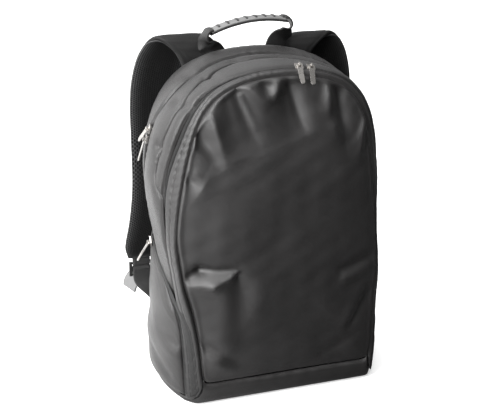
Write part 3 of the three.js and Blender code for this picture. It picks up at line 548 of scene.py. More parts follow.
def cloth_finish(name, dark, pale, roughness, pitch, depth, uneven=0.1, **constants):
    material, tree, shader = start_material(name, dark, roughness, **constants)
    place = put(tree, "ShaderNodeTexCoord").outputs["Object"]
    flat = put(tree, "ShaderNodeUVMap", uv_map="cloth").outputs[0]
    edge = put(tree, "ShaderNodeAttribute", attribute_name="edge").outputs["Fac"]
    threads = put(tree, "ShaderNodeGroup", {"Place": flat, "Pitch": pitch}, node_tree=woven)
    tone = put(tree, "ShaderNodeGroup", {"Place": place}, node_tree=toned)
    scuff = put(tree, "ShaderNodeGroup", {"Place": place, "Edge": edge}, node_tree=scuffed)
    cloudy = math_of(tree, "MULTIPLY", tone.outputs["Tone"], 0.6)
    mottled = math_of(tree, "ADD", cloudy, math_of(tree, "MULTIPLY", tone.outputs["Grain"], 0.25))
    # painted shade: the gaps between threads are darkened in the colour; worn below mixes this painted shade with
    # random tone and edge wear
    shade = math_of(tree, "SUBTRACT", mottled, math_of(tree, "MULTIPLY", threads.outputs["Gap"], 0.3))
    worn = math_of(tree, "ADD", shade, math_of(tree, "MULTIPLY", scuff.outputs["Scuff"], 0.6))
    tree.links.new(blend_colour(tree, worn, dark, pale), shader.inputs["Base Color"])
    rough = math_of(tree, "MULTIPLY_ADD", tone.outputs["Tone"], uneven, roughness - uneven / 2)
    rubbed = math_of(tree, "MULTIPLY_ADD", scuff.outputs["Scuff"], 0.15, rough)
    tree.links.new(rubbed, shader.inputs["Roughness"])
    bump = put(tree, "ShaderNodeBump", {"Height": threads.outputs["Height"], "Distance": depth, "Strength": 0.6})
    fine = put(tree, "ShaderNodeBump", {"Height": tone.outputs["Grain"], "Distance": depth, "Strength": 0.25,
                                        "Normal": bump.outputs[0]})
    tree.links.new(fine.outputs[0], shader.inputs["Normal"])
    return material


satin = cloth_finish("satin cloth", (0.008, 0.0076, 0.0076), (0.03, 0.0285, 0.0285), 0.38, 0.0006, 0.00012,
                     Sheen_Weight=0.05, Sheen_Roughness=0.4)
webbing = cloth_finish("webbing", (0.004, 0.004, 0.004), (0.014, 0.0135, 0.0135), 0.62, 0.0012, 0.0003,
                       Sheen_Weight=0.04, Sheen_Roughness=0.6)
strap_satin = cloth_finish("strap cloth", (0.004, 0.004, 0.004), (0.013, 0.0125, 0.0125), 0.5, 0.0006, 0.00015,
                           Specular_IOR_Level=0.25)
binding = cloth_finish("binding", (0.004, 0.004, 0.004), (0.014, 0.0135, 0.0135), 0.48, 0.0008, 0.0002,
                       Specular_IOR_Level=0.4)
tape = cloth_finish("zip tape", (0.003, 0.003, 0.003), (0.010, 0.0095, 0.0095), 0.7, 0.0008, 0.0002)
thread = cloth_finish("thread", (0.012, 0.012, 0.012), (0.04, 0.039, 0.038), 0.5, 0.0004, 0.0001)
print("finishes:", [m.name for m in (satin, webbing, strap_satin, binding, tape, thread)])

# %% [markdown]
# Air mesh, rubber, moulded plastic and plated metal each have their own small tree.
# The metal is satin nickel: bright, a little warm, with a fine grain.

# %% Other finishes
def air_mesh_finish():
    material, tree, shader = start_material("air mesh", (0.003, 0.003, 0.003), 0.85, Specular_IOR_Level=0.15)
    flat = put(tree, "ShaderNodeUVMap", uv_map="cloth").outputs[0]
    knit = put(tree, "ShaderNodeGroup", {"Place": flat}, node_tree=knitted)
    edge = put(tree, "ShaderNodeAttribute", attribute_name="edge").outputs["Fac"]
    # painted highlight: the threads are coloured paler near the bound edge, where the light catches them
    edge_highlight = math_of(tree, "POWER", math_of(tree, "MAXIMUM", edge, 0.0001), 0.3)
    lit = math_of(tree, "MULTIPLY", math_of(tree, "SUBTRACT", 1.0, knit.outputs["Hole"]), edge_highlight)
    tree.links.new(blend_colour(tree, lit, (0.001, 0.001, 0.001), (0.06, 0.06, 0.061)), shader.inputs["Base Color"])
    tree.links.new(math_of(tree, "MULTIPLY_ADD", knit.outputs["Hole"], 0.2, 0.7), shader.inputs["Roughness"])
    bump = put(tree, "ShaderNodeBump", {"Height": knit.outputs["Height"], "Distance": 0.0012, "Strength": 0.8})
    tree.links.new(bump.outputs[0], shader.inputs["Normal"])
    return material


def moulded_finish(name, dark, pale, roughness, grain, **constants):
    material, tree, shader = start_material(name, dark, roughness, **constants)
    place = put(tree, "ShaderNodeTexCoord").outputs["Object"]
    tone = put(tree, "ShaderNodeGroup", {"Place": place, "Patch size": 0.012, "Grain size": grain}, node_tree=toned)
    tree.links.new(blend_colour(tree, tone.outputs["Tone"], dark, pale), shader.inputs["Base Color"])
    tree.links.new(math_of(tree, "MULTIPLY_ADD", tone.outputs["Tone"], 0.16, roughness - 0.08),
                   shader.inputs["Roughness"])
    bump = put(tree, "ShaderNodeBump", {"Height": tone.outputs["Grain"], "Distance": 0.00008, "Strength": 0.4})
    tree.links.new(bump.outputs[0], shader.inputs["Normal"])
    return material


air_mesh = air_mesh_finish()
# this pale grey also paints the sheen on the webbing tails
rubber = moulded_finish("grip rubber", (0.11, 0.11, 0.11), (0.17, 0.17, 0.17), 0.6, 0.0006)
plastic = moulded_finish("moulded plastic", (0.006, 0.006, 0.006), (0.012, 0.012, 0.012), 0.35, 0.0008)
coil = moulded_finish("zip coil", (0.003, 0.003, 0.003), (0.008, 0.008, 0.008), 0.5, 0.0005)
nickel = moulded_finish("satin nickel", (0.5, 0.48, 0.46), (0.62, 0.6, 0.57), 0.27, 0.0012, Metallic=1.0)
print("finishes:", [m.name for m in (air_mesh, rubber, plastic, coil, nickel)])

# %% [markdown]
# ## The strips of the main arch
#
# Four strips of cloth run from the base up one side and down the other: the rear gusset,
# the main gusset, the wedge of the front pocket and the front band. Each one is a fine
# grid over the skin, pushed out by its sewing and by the dents the photograph shows.

# %% Strips
SIDE_FOLDS = [  # from, to, widths, rises, sharpness: dents and ridges of the arch
    ((-148, -12, 352), (-144, -18, 349), (6, 6), (-3.5, -3), 1.6),
    ((-126, -7, 407), (-118, -20, 400), (8, 6), (-3, -2), 1.7),
    ((-120, -30, 410), (-108, -42, 404), (7, 6), (-3, -2.4), 1.6),
    ((-40, 20, 452), (-30, 14, 452), (6, 5), (-3.4, -3), 1.6),
    ((-88, -8, 440), (-78, -16, 440), (5, 5), (-3.4, -2.6), 1.6),
    ((21, 22, 455), (24, 18, 455), (4, 4), (-2.6, -2), 1.6),
    ((-150, -20, 300), (-146, -40, 240), (12, 16), (1.6, 1.2), 2),
    ((-100, 30, 432), (-84, 22, 440), (7, 7), (-2.2, -1.6), 1.7),
    ((152, 0, 330), (150, -20, 300), (10, 12), (-2.4, -1.6), 1.8),
    ((120, 10, 410), (108, -10, 420), (8, 8), (-2.6, -2), 1.7),
]


def arch_strip(name, skip, v0, v1, cols, rows, **looks):
    """A strip over the skin between two depths that vary along the loop."""
    u = np.linspace(loop_place(skip), loop_place(LOOP_COLS - skip), cols + 1)[:, None]
    start, end = (edge(u) if callable(edge) else edge + 0 * u for edge in (v0, v1))
    b = np.linspace(0, 1, rows + 1)[None, :]
    b = lerp(b, (1 - np.cos(math.pi * b)) / 2, 0.6)
    v = lerp(start, end, b)
    wide = (end - start) * depth_at(height_at(u))
    s, w = u * LOOP_LENGTH + 0 * v, b * wide
    skin = bag(u, v)
    rise = sewn(s, w, wide, **looks) + 1.6 * fold_push(skin, SIDE_FOLDS, 0.3)
    points = skin + outward(bag, u + 0 * v, v) * rise[..., None]
    edge = np.exp(-np.minimum(w, wide - w) / 2.5)
    flat = np.stack([s, w], -1).reshape(-1, 2)
    return mesh_object(name, points.reshape(-1, 3), grid_faces(cols, rows), flat, edge.ravel())


def zip_edge(u):
    return share_of(ZIP_TAPE / 2 + SEAM_GAP, u)


def zip_side(u):
    return front_zip(u) - zip_edge(u)


def main_front(u):
    """The front edge of the main gusset: it leaves the zip where the wedge begins."""
    column = (u - BASE_SEAM) / (1 - 2 * BASE_SEAM) * LOOP_COLS
    on_wedge = np.clip(np.minimum(column, LOOP_COLS - column) - WEDGE_FIRST + 1, 0, 1)
    return lerp(zip_side(u), np.minimum(wedge_rear(u) - share_of(SEAM_GAP / 2, u), zip_side(u)), on_wedge)


def wedge_back(u):
    return main_front(u) + share_of(SEAM_GAP, u)


def wedge_front(u):
    return np.maximum(zip_side(u), wedge_back(u) + share_of(0.2, u))


rear_cloth = arch_strip("rear_gusset_cloth", 0, 0.0, lambda u: main_zip(u) - zip_edge(u), 420, 20, seed=11)
main_cloth = arch_strip("main_gusset_cloth", 0, lambda u: main_zip(u) + zip_edge(u), main_front, 460, 30, seed=23)
wedge_cloth = arch_strip("pocket_gusset_cloth", WEDGE_FIRST - 1, wedge_back, wedge_front, 280, 14, seed=31)
for piece, node in ((rear_cloth, "rear_gusset"), (main_cloth, "main_gusset"), (wedge_cloth, "pocket_gusset")):
    keep(add_wall(piece, 1.6), satin, "cloth", node)
print("strips:", [(p.name, len(p.data.polygons)) for p in (rear_cloth, main_cloth, wedge_cloth)])

# %% [markdown]
# The front band is a rolled double strip: it covers the zip like a flap, has a row of
# stitches down its middle, and its front edge is gathered by the panel's seam.

# %% Front band
BAND_GROOVE = 0.42  # share of the band's width where the stitches pull it in


def band_rise(s, w, wide):
    edge = np.clip(np.minimum(w, wide - w), 0, None)
    stitched = -1.3 * np.exp(-((w - BAND_GROOVE * wide) ** 2))
    padded_flap = 3.2 * (1 - np.exp(-edge / 2.6))
    gathered = 0.9 * puckers(s, 71, 11) * np.exp(-np.abs(w - BAND_GROOVE * wide) / 9)
    return -4.2 * np.exp(-((edge / 1.6) ** 2)) + padded_flap + stitched + gathered * (1 - np.exp(-edge / 2))


def front_band():
    cols, rows = 460, 20
    u = np.linspace(BASE_SEAM, 1 - BASE_SEAM, cols + 1)[:, None]
    start, end = front_zip(u) + zip_edge(u), FRONT_EDGE + 0 * u
    b = np.linspace(0, 1, rows + 1)[None, :]
    v = lerp(start, end, b)
    skin = bag(u, v)
    across = np.linalg.norm(np.diff(skin, axis=1), axis=-1)
    w = np.concatenate([np.zeros((cols + 1, 1)), np.cumsum(across, axis=1)], axis=1)
    wide = w[:, -1:]
    s = u * LOOP_LENGTH + 0 * v
    rise = band_rise(s, w, wide)
    points = skin + outward(bag, u + 0 * v, v) * rise[..., None]
    edge = np.exp(-np.minimum(w, wide - w) / 2.5)
    return mesh_object("front_band_cloth", points.reshape(-1, 3), grid_faces(cols, rows),
                       np.stack([s, w], -1).reshape(-1, 2), edge.ravel())


band = keep(add_wall(front_band(), 1.4), satin, "cloth", "front_band")
print("front band", len(band.data.polygons), "faces")

# %% [markdown]
# ## The base
#
# The base is a doubled tray of the same cloth. At the front it rolls up to the panel's
# bottom seam, and there it crumples a little.

# %% Base
BASE_FOLDS = [
    ((-100, -80, 30), (-66, -80, 33), (5, 4), (2.6, 1.6), 1.6),
    ((-84, -79, 20), (-52, -80, 26), (5, 5), (-2.4, -1.4), 1.6),
    ((-30, -80, 22), (20, -80, 28), (6, 6), (1.4, 1), 1.8),
    ((60, -80, 30), (96, -79, 22), (6, 5), (-2, -1.4), 1.7),
    ((-124, -60, 8), (-112, -70, 22), (6, 5), (-2, -2), 1.7),
]


def base_tray():
    cols, rows = 150, 90
    seam = BASE_SEAM - 0.0005
    u = np.linspace(-seam, seam, cols + 1)[:, None]
    b = np.linspace(0, 1, rows + 1)[None, :]
    v = lerp(0.002, FRONT_EDGE, b ** 0.75)
    skin = bag(u, v)
    s, w = u * LOOP_LENGTH + 0 * v, -skin[..., 1]
    side = (seam - np.abs(u)) * LOOP_LENGTH
    front = np.linalg.norm(skin - bag(u, FRONT_EDGE + 0 * u), axis=-1)
    edge = np.minimum(side, front)
    standing = np.clip((skin[..., 2] - 2) / 8, 0, 1)
    rise = 0.8 * standing * (1 - np.exp(-edge / 6)) - 1.4 * np.exp(-((edge / 1.6) ** 2)) * standing
    rise = rise + standing * (fold_push(skin, BASE_FOLDS) * (1 - np.exp(-edge / 5)) + 0.5 * ripples(s, w, 41, 40))
    rise = np.where(standing > 0, rise, 0)
    points = skin + outward(bag, u + 0 * v, v) * rise[..., None]
    return mesh_object("base_cloth", points.reshape(-1, 3), grid_faces(cols, rows),
                       np.stack([s, w], -1).reshape(-1, 2), np.exp(-edge / 2.5).ravel())


base = keep(add_wall(base_tray(), 2.4), satin, "cloth", "base_panel")
print("base", len(base.data.polygons), "faces")

# %% [markdown]
# ## The front panel
#
# This is the bag's face. Its rim is gathered into the front seam, so folds run down from
# the arch and fade towards the middle: a fold is narrow where it is caught and wider
# where it lets go. At the waist the bag slumps, and one deep crease runs in from the left.
# The folds are lines on the panel, measured from the photograph, across and up in
# millimetres.

# %% Folds of the front panel
FRONT_FOLDS = [  # from (across, up), to, widths, rises, sharpness
    ((-48, 436), (-17, 413), (7, 5), (4.5, 5.5), 1.4),      # left arm of the bright flap
    ((-10, 440), (-16, 414), (5, 5), (3.2, 5), 1.4),        # its right arm
    ((-28, 438), (-20, 424), (7, 5), (-3, -3.5), 1.7),      # the hollow between them
    ((-64, 434), (-34, 352), (9, 8), (-5.5, -4.5), 1.6),    # long dark valley
    ((-58, 426), (-38, 380), (3.5, 3), (3, 2.4), 1.4),      # a thin ridge inside it
    ((-96, 404), (-79, 341), (8, 6), (4.5, 4.5), 1.4),      # corner ridge
    ((-110, 383), (-84, 336), (9, 7), (-4, -4.5), 1.6),     # corner valley
    ((-76, 418), (-60, 350), (8, 12), (-2, -4), 1.8),       # shade right of the corner ridge
    ((-124, 324), (-110, 315), (8, 7), (-3.6, -2.6), 1.6),  # side dent
    ((-116, 330), (-104, 300), (10, 9), (2, 2.4), 1.8),
    ((8, 432), (26, 372), (8, 6), (-5.5, -5.5), 1.5),       # valley under the pulls
    ((-2, 420), (10, 366), (9, 10), (-2.5, -2.5), 1.8),
    ((58, 428), (57, 392), (5, 5), (4.5, 3.5), 1.4),        # right ridge
    ((72, 424), (84, 336), (8, 8), (-5, -5.5), 1.6),        # right valley
    ((66, 380), (84, 356), (8, 7), (2.4, 2), 1.7),
    ((110, 392), (101, 334), (4, 4.5), (3.6, 3.6), 1.4),    # ridge near the right edge
    ((118, 372), (112, 330), (4, 5), (-3, -2.6), 1.6),
    ((-132, 192), (-112, 203), (6, 7), (-5.5, -5.5), 1.6),  # hip crease, first half
    ((-112, 203), (-68, 205), (7, 5), (-5.5, -3), 1.6),     # hip crease, second half
    ((-128, 182), (-100, 186), (8, 8), (4.5, 5), 1.6),      # bright roll under it
    ((-100, 186), (-68, 201), (8, 4), (5, 5.5), 1.5),
    ((-66, 196), (-62, 178), (6, 12), (-4.5, -2.5), 1.6),   # where the roll ends
    ((-84, 168), (-84, 80), (16, 14), (2.6, 2.6), 2),       # soft border of the left facet
    ((-62, 170), (-62, 80), (16, 18), (-2.4, -2), 2),
    ((-112, 100), (-64, 68), (7, 9), (-4, -3), 1.6),        # foot crease
    ((-114, 84), (-72, 58), (8, 8), (2.2, 2), 1.7),
    ((80, 184), (122, 192), (9, 6), (-2.6, -4), 1.7),       # right waist crease
    ((84, 174), (120, 180), (9, 8), (2.4, 3), 1.8),
    ((96, 100), (122, 138), (9, 7), (-3.6, -4), 1.6),       # right low crease
    ((88, 110), (112, 150), (10, 10), (2, 2.4), 1.8),
    ((60, 60), (104, 84), (9, 9), (-2, -2.6), 1.8),
]
print(len(FRONT_FOLDS), "folds")

# %% Front panel
FRONT_MIDDLE = 0.47 * HEIGHT


def front_panel():
    around, rings = 340, 96
    u = np.linspace(0, 1, around, endpoint=False)[:, None]
    r = (np.linspace(0, 1, rings + 1)[1:] ** 0.8)[None, :]
    rim = bag(u, 1 + 0 * u)
    share = r * FRONT_EDGE
    x = lerp(sway(FRONT_MIDDLE / HEIGHT), rim[..., 0], share)
    z = lerp(FRONT_MIDDLE, rim[..., 2], share)
    flat = np.stack([x, z], -1)
    edge = np.linalg.norm(flat - rim[..., ::2], axis=-1)
    s = u * LOOP_LENGTH + 0 * x
    upper = np.clip((z - 250) / 120, 0.25, 1)
    caught = 1 - np.exp(-edge / 7)
    crown = CROWN * (1 - share**2.4)
    gathered_in = [fold for fold in FRONT_FOLDS if fold[0][1] > 300]
    slumped = [fold for fold in FRONT_FOLDS if fold[0][1] <= 300]
    folds = (1.9 * fold_push(flat, gathered_in, 0.9) + 1.5 * fold_push(flat, slumped, 0.3)) * caught
    gathers = 2.6 * upper * puckers(s, 83, 17) * np.exp(-edge / 13) * (1 - np.exp(-edge / 2))
    slack = 1.3 * ripples(x, z, 89, 90) + 0.4 * ripples(x, z, 97, 34)
    proud = 2.2 * (1 - np.exp(-edge / 5)) * (1 - share**8) + 1.2 * np.exp(-((edge - 4) / 4) ** 2)
    rolled = 5.6 * np.exp(-((edge / 1.7) ** 2))
    y = BACK_Y - depth_at(z) - crown - folds - gathers - slack * caught - proud + rolled
    centre = np.array([[sway(FRONT_MIDDLE / HEIGHT), y[:, 0].mean(), FRONT_MIDDLE]])
    points = np.vstack([centre, np.stack([x, y, z], -1).reshape(-1, 3)])
    near, far = np.arange(around) * rings + 1, (np.arange(1, around + 1) % around) * rings + 1
    fan = np.stack([np.zeros(around, int), near, far], -1)
    j = np.arange(rings - 1)
    quads = np.stack([near[:, None] + j, near[:, None] + j + 1, far[:, None] + j + 1, far[:, None] + j], -1)
    faces = [*fan.tolist(), *quads.reshape(-1, 4).tolist()]
    return mesh_object("front_panel_cloth", points, faces, points[:, ::2],
                       np.concatenate([[0], np.exp(-edge / 2.5).ravel()]))


front = keep(add_wall(front_panel(), 1.4), satin, "cloth", "front_panel")
print("front panel", len(front.data.polygons), "faces, first normal", front.data.polygons[0].normal)

# %% [markdown]
# ## Rows of small things: zip teeth and stitches
#
# A zip has hundreds of coil loops and a seam hundreds of stitches, all alike. Geometry
# Nodes place them: a line of points carries two directions, `side` and `out`, the tree
# resamples it at the pitch, sets a small rounded bar on each place, and makes the copies
# real. Afterwards the result is kept as a plain mesh.

# %% The row tree
def row_tree():
    group, given, result = new_group(
        "Row of bars",
        [("Geometry", "NodeSocketGeometry"), ("Pitch", NUMBER, 0.003), ("Long", NUMBER, 0.002),
         ("Wide", NUMBER, 0.0006), ("High", NUMBER, 0.0006), ("Lean", NUMBER, 0.0),
         ("Finish", "NodeSocketMaterial")],
        [("Geometry", "NodeSocketGeometry")], "GeometryNodeTree")
    group.is_modifier = True
    line = put(group, "GeometryNodeMeshToCurve", {0: given["Geometry"]})
    even = put(group, "GeometryNodeResampleCurve", {"Curve": line.outputs[0], "Length": given["Pitch"]},
               mode="LENGTH")
    bar = put(group, "GeometryNodeMeshUVSphere", {"Segments": 8, "Rings": 5, "Radius": 0.5})
    smooth = put(group, "GeometryNodeSetShadeSmooth", {0: bar.outputs[0]})
    axes = [put(group, "GeometryNodeInputNamedAttribute", {"Name": name}, data_type="FLOAT_VECTOR").outputs[0]
            for name in ("side", "out")]
    turn = put(group, "FunctionNodeAxesToRotation", {0: axes[1], 1: axes[0]}, primary_axis="Z", secondary_axis="X")
    leaning = put(group, "FunctionNodeRotateRotation", {0: turn.outputs[0], 1: put(
        group, "FunctionNodeAxisAngleToRotation", {"Axis": (0, 0, 1), "Angle": given["Lean"]}).outputs[0]},
        rotation_space="LOCAL")
    size = put(group, "ShaderNodeCombineXYZ", {0: given["Long"], 1: given["Wide"], 2: given["High"]})
    many = put(group, "GeometryNodeInstanceOnPoints", {"Points": even.outputs[0], "Instance": smooth.outputs[0],
                                                       "Rotation": leaning.outputs[0], "Scale": size.outputs[0]})
    real = put(group, "GeometryNodeRealizeInstances", {0: many.outputs[0]})
    dressed = put(group, "GeometryNodeSetMaterial", {"Geometry": real.outputs[0], "Material": given["Finish"]})
    group.links.new(dressed.outputs[0], result["Geometry"])
    return group


bars_in_a_row = row_tree()


def row_of_bars(name, lines, finish, pitch, long, wide, high, lean=0.0):
    """lines is a list of (points, side, out) arrays in millimetres; returns a plain mesh piece."""
    mesh = bpy.data.meshes.new(name + "_line")
    points = np.vstack([line[0] for line in lines])
    starts = np.cumsum([0] + [len(line[0]) for line in lines])
    edges = [(k, k + 1) for a, b in zip(starts, starts[1:]) for k in range(a, b - 1)]
    mesh.from_pydata((points * MM).tolist(), edges, [])
    for label, column in (("side", 1), ("out", 2)):
        layer = mesh.attributes.new(label, "FLOAT_VECTOR", "POINT")
        layer.data.foreach_set("vector", np.vstack([line[column] for line in lines]).astype(np.float32).ravel())
    source = bpy.data.objects.new(name + "_line", mesh)
    bpy.context.scene.collection.objects.link(source)
    rows = source.modifiers.new("rows", "NODES")
    rows.node_group = bars_in_a_row
    socket = {item.name: item.identifier for item in bars_in_a_row.interface.items_tree if item.in_out == "INPUT"}
    for label, value in (("Pitch", pitch * MM), ("Long", long * MM), ("Wide", wide * MM), ("High", high * MM),
                         ("Lean", lean), ("Finish", finish)):
        rows[socket[label]] = value
    graph = bpy.context.evaluated_depsgraph_get()
    made = bpy.data.objects.new(name, bpy.data.meshes.new_from_object(source.evaluated_get(graph)))
    bpy.context.scene.collection.objects.link(made)
    bpy.data.objects.remove(source)
    return made


print("row tree has", len(bars_in_a_row.nodes), "nodes")

# %% [markdown]
# ## The zips
#
# Each zip is a tape with a nylon coil down its middle. The tape lies a little below the
# cloth, so the seams on both sides throw a shadow over it.

# %% Zip helpers
def unit(vectors):
    return vectors / np.linalg.norm(vectors, axis=-1, keepdims=True)


def skin_line(u, v, rise, surface=bag):
    """A line on a surface with its direction along, across and out."""
    normal = outward(surface, u, v)
    points = surface(u, v) + normal * np.asarray(rise)[..., None]
    along = unit(np.gradient(points, axis=0))
    across = unit(np.cross(normal, along))
    return points, along, across, normal


def zip_tape(name, edges, u, surface, rise, node):
    def face(height):
        def at(a, b):
            place = lerp(u[0], u[1], a)
            low, high = edges[0](place), edges[1](place)
            v = lerp(low, high, b)
            return surface(place, v) + outward(surface, place, v) * height
        return at
    return keep(slab(name, face(rise), face(rise - 0.9), 200, 4, (1000, ZIP_TAPE)), tape, "zip_coil", node)


def zip_coil(name, points, across, normal):
    """Two rows of leaning loops, as a nylon coil shows them."""
    lines = [(points + across * side * 0.55, across, normal) for side in (-1, 1)]
    loops = row_of_bars(name, lines, coil, pitch=1.5, long=2.7, wide=0.95, high=1.3, lean=0.22)
    return keep(loops, coil, "zip_coil")


ZIP_SINK, COIL_RISE = -3.8, 0.6
for name, depth in (("main_zip", main_zip), ("front_zip", front_zip)):
    edges = [lambda u, side=side, depth=depth: depth(u) + side * share_of(ZIP_TAPE / 2, u) for side in (-1, 1)]
    zip_tape(name + "_tape", edges, (BASE_SEAM, 1 - BASE_SEAM), bag, ZIP_SINK, name)
    u = np.linspace(BASE_SEAM, 1 - BASE_SEAM, 500)
    points, _, across, normal = skin_line(u, depth(u), ZIP_SINK + COIL_RISE + 0 * u)
    teeth = zip_coil(name + "_coil", points, across, normal)
    print(teeth.name, len(teeth.data.polygons), "faces")

# %% [markdown]
# ## Side pockets
#
# A slim pocket lies on each side, closed by a zip that runs down its front edge. The
# pocket is a second skin that swells over the first, and a flat band of cloth covers the
# zip's front edge. The left pocket has a dent and a facet above the base.

# %% Side pockets
POCKET_TOP, POCKET_SWELL, POCKET_ZIP, POCKET_BAND = 208, 12, 6, 14
TAPE_RISE = 0.9  # of a pocket's zip tape
POCKET_EDGE = [(0.058, 0.85), (0.481, 0.845), (0.639, 0.81), (0.745, 0.7), (0.875, 0.48), (1, 0.2)]
POCKET_FOLDS = [
    ((-150, -18, 96), (-134, -58, 86), (7, 5), (-4, -4.5), 1.6),
    ((-150, -24, 76), (-134, -58, 74), (8, 7), (3, 3.4), 1.6),
    ((-134, -60, 120), (-132, -62, 104), (4, 5), (-2.4, -3), 1.7),
    ((-156, 4, 172), (-152, -8, 164), (8, 8), (-2.8, -2), 1.8),
    ((-150, 0, 110), (-146, -30, 130), (14, 12), (1.6, 1), 2),
    ((-152, 20, 60), (-140, -30, 34), (10, 8), (-2.2, -2.4), 1.8),
    ((150, -10, 150), (150, -40, 120), (9, 9), (-3, -2), 1.7),
    ((154, 10, 80), (146, -40, 60), (10, 8), (-3, -2.4), 1.7),
]
pocket_edge = table_curve(POCKET_EDGE, 0, 1)


def pocket_after(wide):
    """The depth of a line that runs so many millimetres in front of the pocket's edge."""
    return lambda u: np.minimum(pocket_edge(height_at(u) / POCKET_TOP) + share_of(wide, u), 0.99)


def side_skin(mirror):
    """The bag's skin with u counted up from the base on either side."""
    return bag if mirror > 0 else lambda u, v: bag(1 - u, v)


def pocket_piece(name, mirror, v0, v1, rise, cols, rows, reach=(0.003, 0)):
    skin = side_skin(mirror)
    low, high = BASE_SEAM + reach[0], loop_at(POCKET_TOP) + reach[1]
    a = np.linspace(0, 1, cols + 1)[:, None]
    u = lerp(low, high, a)
    start, end = (edge(u) if callable(edge) else edge + 0 * u for edge in (v0, v1))
    b = np.linspace(0, 1, rows + 1)[None, :]
    v = lerp(start, end, b)
    wide = (end - start) * depth_at(height_at(u))
    s, w = (u - low) * LOOP_LENGTH + 0 * v, b * wide
    length = (high - low) * LOOP_LENGTH
    place = skin(u, v)
    height = rise(a + 0 * b, b + 0 * a, s, w, wide, length, place)
    points = place + mirror * outward(skin, u + 0 * v, v) * height[..., None]
    faces = grid_faces(cols, rows)
    edge = np.minimum(np.minimum(w, wide - w), np.minimum(s, length - s))
    return mesh_object(name, points.reshape(-1, 3), faces if mirror > 0 else faces[:, ::-1],
                       np.stack([s, w], -1).reshape(-1, 2), np.exp(-edge / 2.5).ravel())


def pocket_swell(a, b, s, w, wide, length, place):
    tall = np.sin(math.pi * a**0.75).clip(0) ** 0.7
    deep = np.sin(math.pi * b**1.1).clip(0) ** 0.7
    edge = np.minimum(np.minimum(w, wide - w), np.minimum(s, length - s)).clip(0)
    loose = (1.7 * fold_push(place, POCKET_FOLDS, 0.3) + 1.2 * ripples(s, w, 51, 60)) * (1 - np.exp(-edge / 6))
    rolled = -1.5 * np.exp(-((edge / 1.5) ** 2))
    gathered = 0.5 * puckers(s + w, 57, 11) * np.exp(-edge / 9) * (1 - np.exp(-edge / 1.5))
    return LAY_GAP + 2 + POCKET_SWELL * tall * deep + loose + gathered + rolled


def pocket_band_rise(a, b, s, w, wide, length, place):
    edge = np.minimum(w, wide - w).clip(0)
    rolled = -1.2 * np.exp(-((edge / 1) ** 2))
    stitched = -0.6 * np.exp(-(((w - 3.2) / 0.8) ** 2)) - 0.5 * np.exp(-(((w - wide + 3) / 0.8) ** 2))
    return LAY_GAP + 1.8 + 0.9 * (1 - np.exp(-edge / 2)) + rolled + stitched + 0.3 * puckers(s, 63, 13)


for side, mirror in (("right", 1), ("left", -1)):
    panel = pocket_piece(f"pocket_cloth_{side}", mirror, 0.004, pocket_after(0), pocket_swell, 110, 74)
    keep(add_wall(panel, 1.4), satin, "cloth", f"side_pocket_{side}")
    zip_end = SEAM_GAP + POCKET_ZIP
    cover = pocket_piece(f"pocket_band_cloth_{side}", mirror, pocket_after(zip_end + SEAM_GAP),
                         pocket_after(zip_end + SEAM_GAP + POCKET_BAND), pocket_band_rise, 110, 16)
    keep(add_wall(cover, 1.4), binding, "webbing", f"pocket_band_{side}")
    flat_tape = pocket_piece(f"pocket_zip_tape_{side}", mirror, pocket_after(SEAM_GAP), pocket_after(zip_end),
                             lambda a, b, *_: LAY_GAP + TAPE_RISE + 0 * a, 110, 4)
    keep(add_wall(flat_tape, 0.8), tape, "zip_coil", f"pocket_zip_{side}")
    u = np.linspace(BASE_SEAM + 0.005, loop_at(POCKET_TOP), 260)
    middle = pocket_after(SEAM_GAP + POCKET_ZIP / 2)(u)
    skin = side_skin(mirror)
    points, _, across, normal = skin_line(u, middle, mirror * (LAY_GAP + TAPE_RISE + COIL_RISE) + 0 * u, skin)
    zip_coil(f"pocket_zip_coil_{side}", points, across, normal * mirror)
print("pockets done")

# %% [markdown]
# ## The padded back
#
# The back panel is a foam cushion under air mesh. We blow it up with a cloth simulation,
# as a maker's foam would fill it: a closed copy of its solid is remeshed evenly and
# swells under a little pressure, while its rim and the side on the bag stay still. A cap on
# how far a point may go keeps it within its place.

# %% Padded back
BACK_CAP, BACK_VOXEL, BACK_PRESSURE, SWELL_FRAMES = 3, 4, 4, 20


def copy_of(node, name):
    """A copy of a CAD solid with its loose triangles merged."""
    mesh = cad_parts[node].data.copy()
    work = bmesh.new()
    work.from_mesh(mesh)
    bmesh.ops.remove_doubles(work, verts=work.verts, dist=1e-6)
    work.to_mesh(mesh)
    work.free()
    mesh.materials.clear()
    made = bpy.data.objects.new(name, mesh)
    bpy.context.scene.collection.objects.link(made)
    return made


def vertex_places(mesh):
    places = np.empty(len(mesh.vertices) * 3, np.float32)
    mesh.vertices.foreach_get("co", places)
    return places.reshape(-1, 3).astype(float)


def apply_modifier(piece, name):
    with bpy.context.temp_override(object=piece, active_object=piece, selected_objects=[piece]):
        bpy.ops.object.modifier_apply(modifier=name)


def swell(piece, pinned, cap):
    """Blows up a closed mesh with cloth pressure; pinned points stay, and no point moves past cap."""
    before = vertex_places(piece.data)
    group = piece.vertex_groups.new(name="pinned")
    group.add([int(i) for i in np.where(pinned)[0]], 1.0, "REPLACE")
    cloth = piece.modifiers.new("cloth", "CLOTH")
    cloth.settings.use_pressure, cloth.settings.uniform_pressure_force = True, BACK_PRESSURE
    cloth.settings.vertex_group_mass = "pinned"
    cloth.settings.effector_weights.gravity = 0
    cloth.settings.quality = 6
    cloth.point_cache.frame_start, cloth.point_cache.frame_end = 1, SWELL_FRAMES
    for step in range(1, SWELL_FRAMES + 1):
        bpy.context.scene.frame_set(step)
    apply_modifier(piece, "cloth")
    moved = vertex_places(piece.data) - before
    far = np.linalg.norm(moved, axis=1, keepdims=True)
    moved *= np.minimum(1, cap * MM / np.maximum(far, 1e-9))
    piece.data.vertices.foreach_set("co", (before + moved).astype(np.float32).ravel())
    bpy.context.scene.frame_set(1)
    return float((np.linalg.norm(moved, axis=1)).max() / MM)


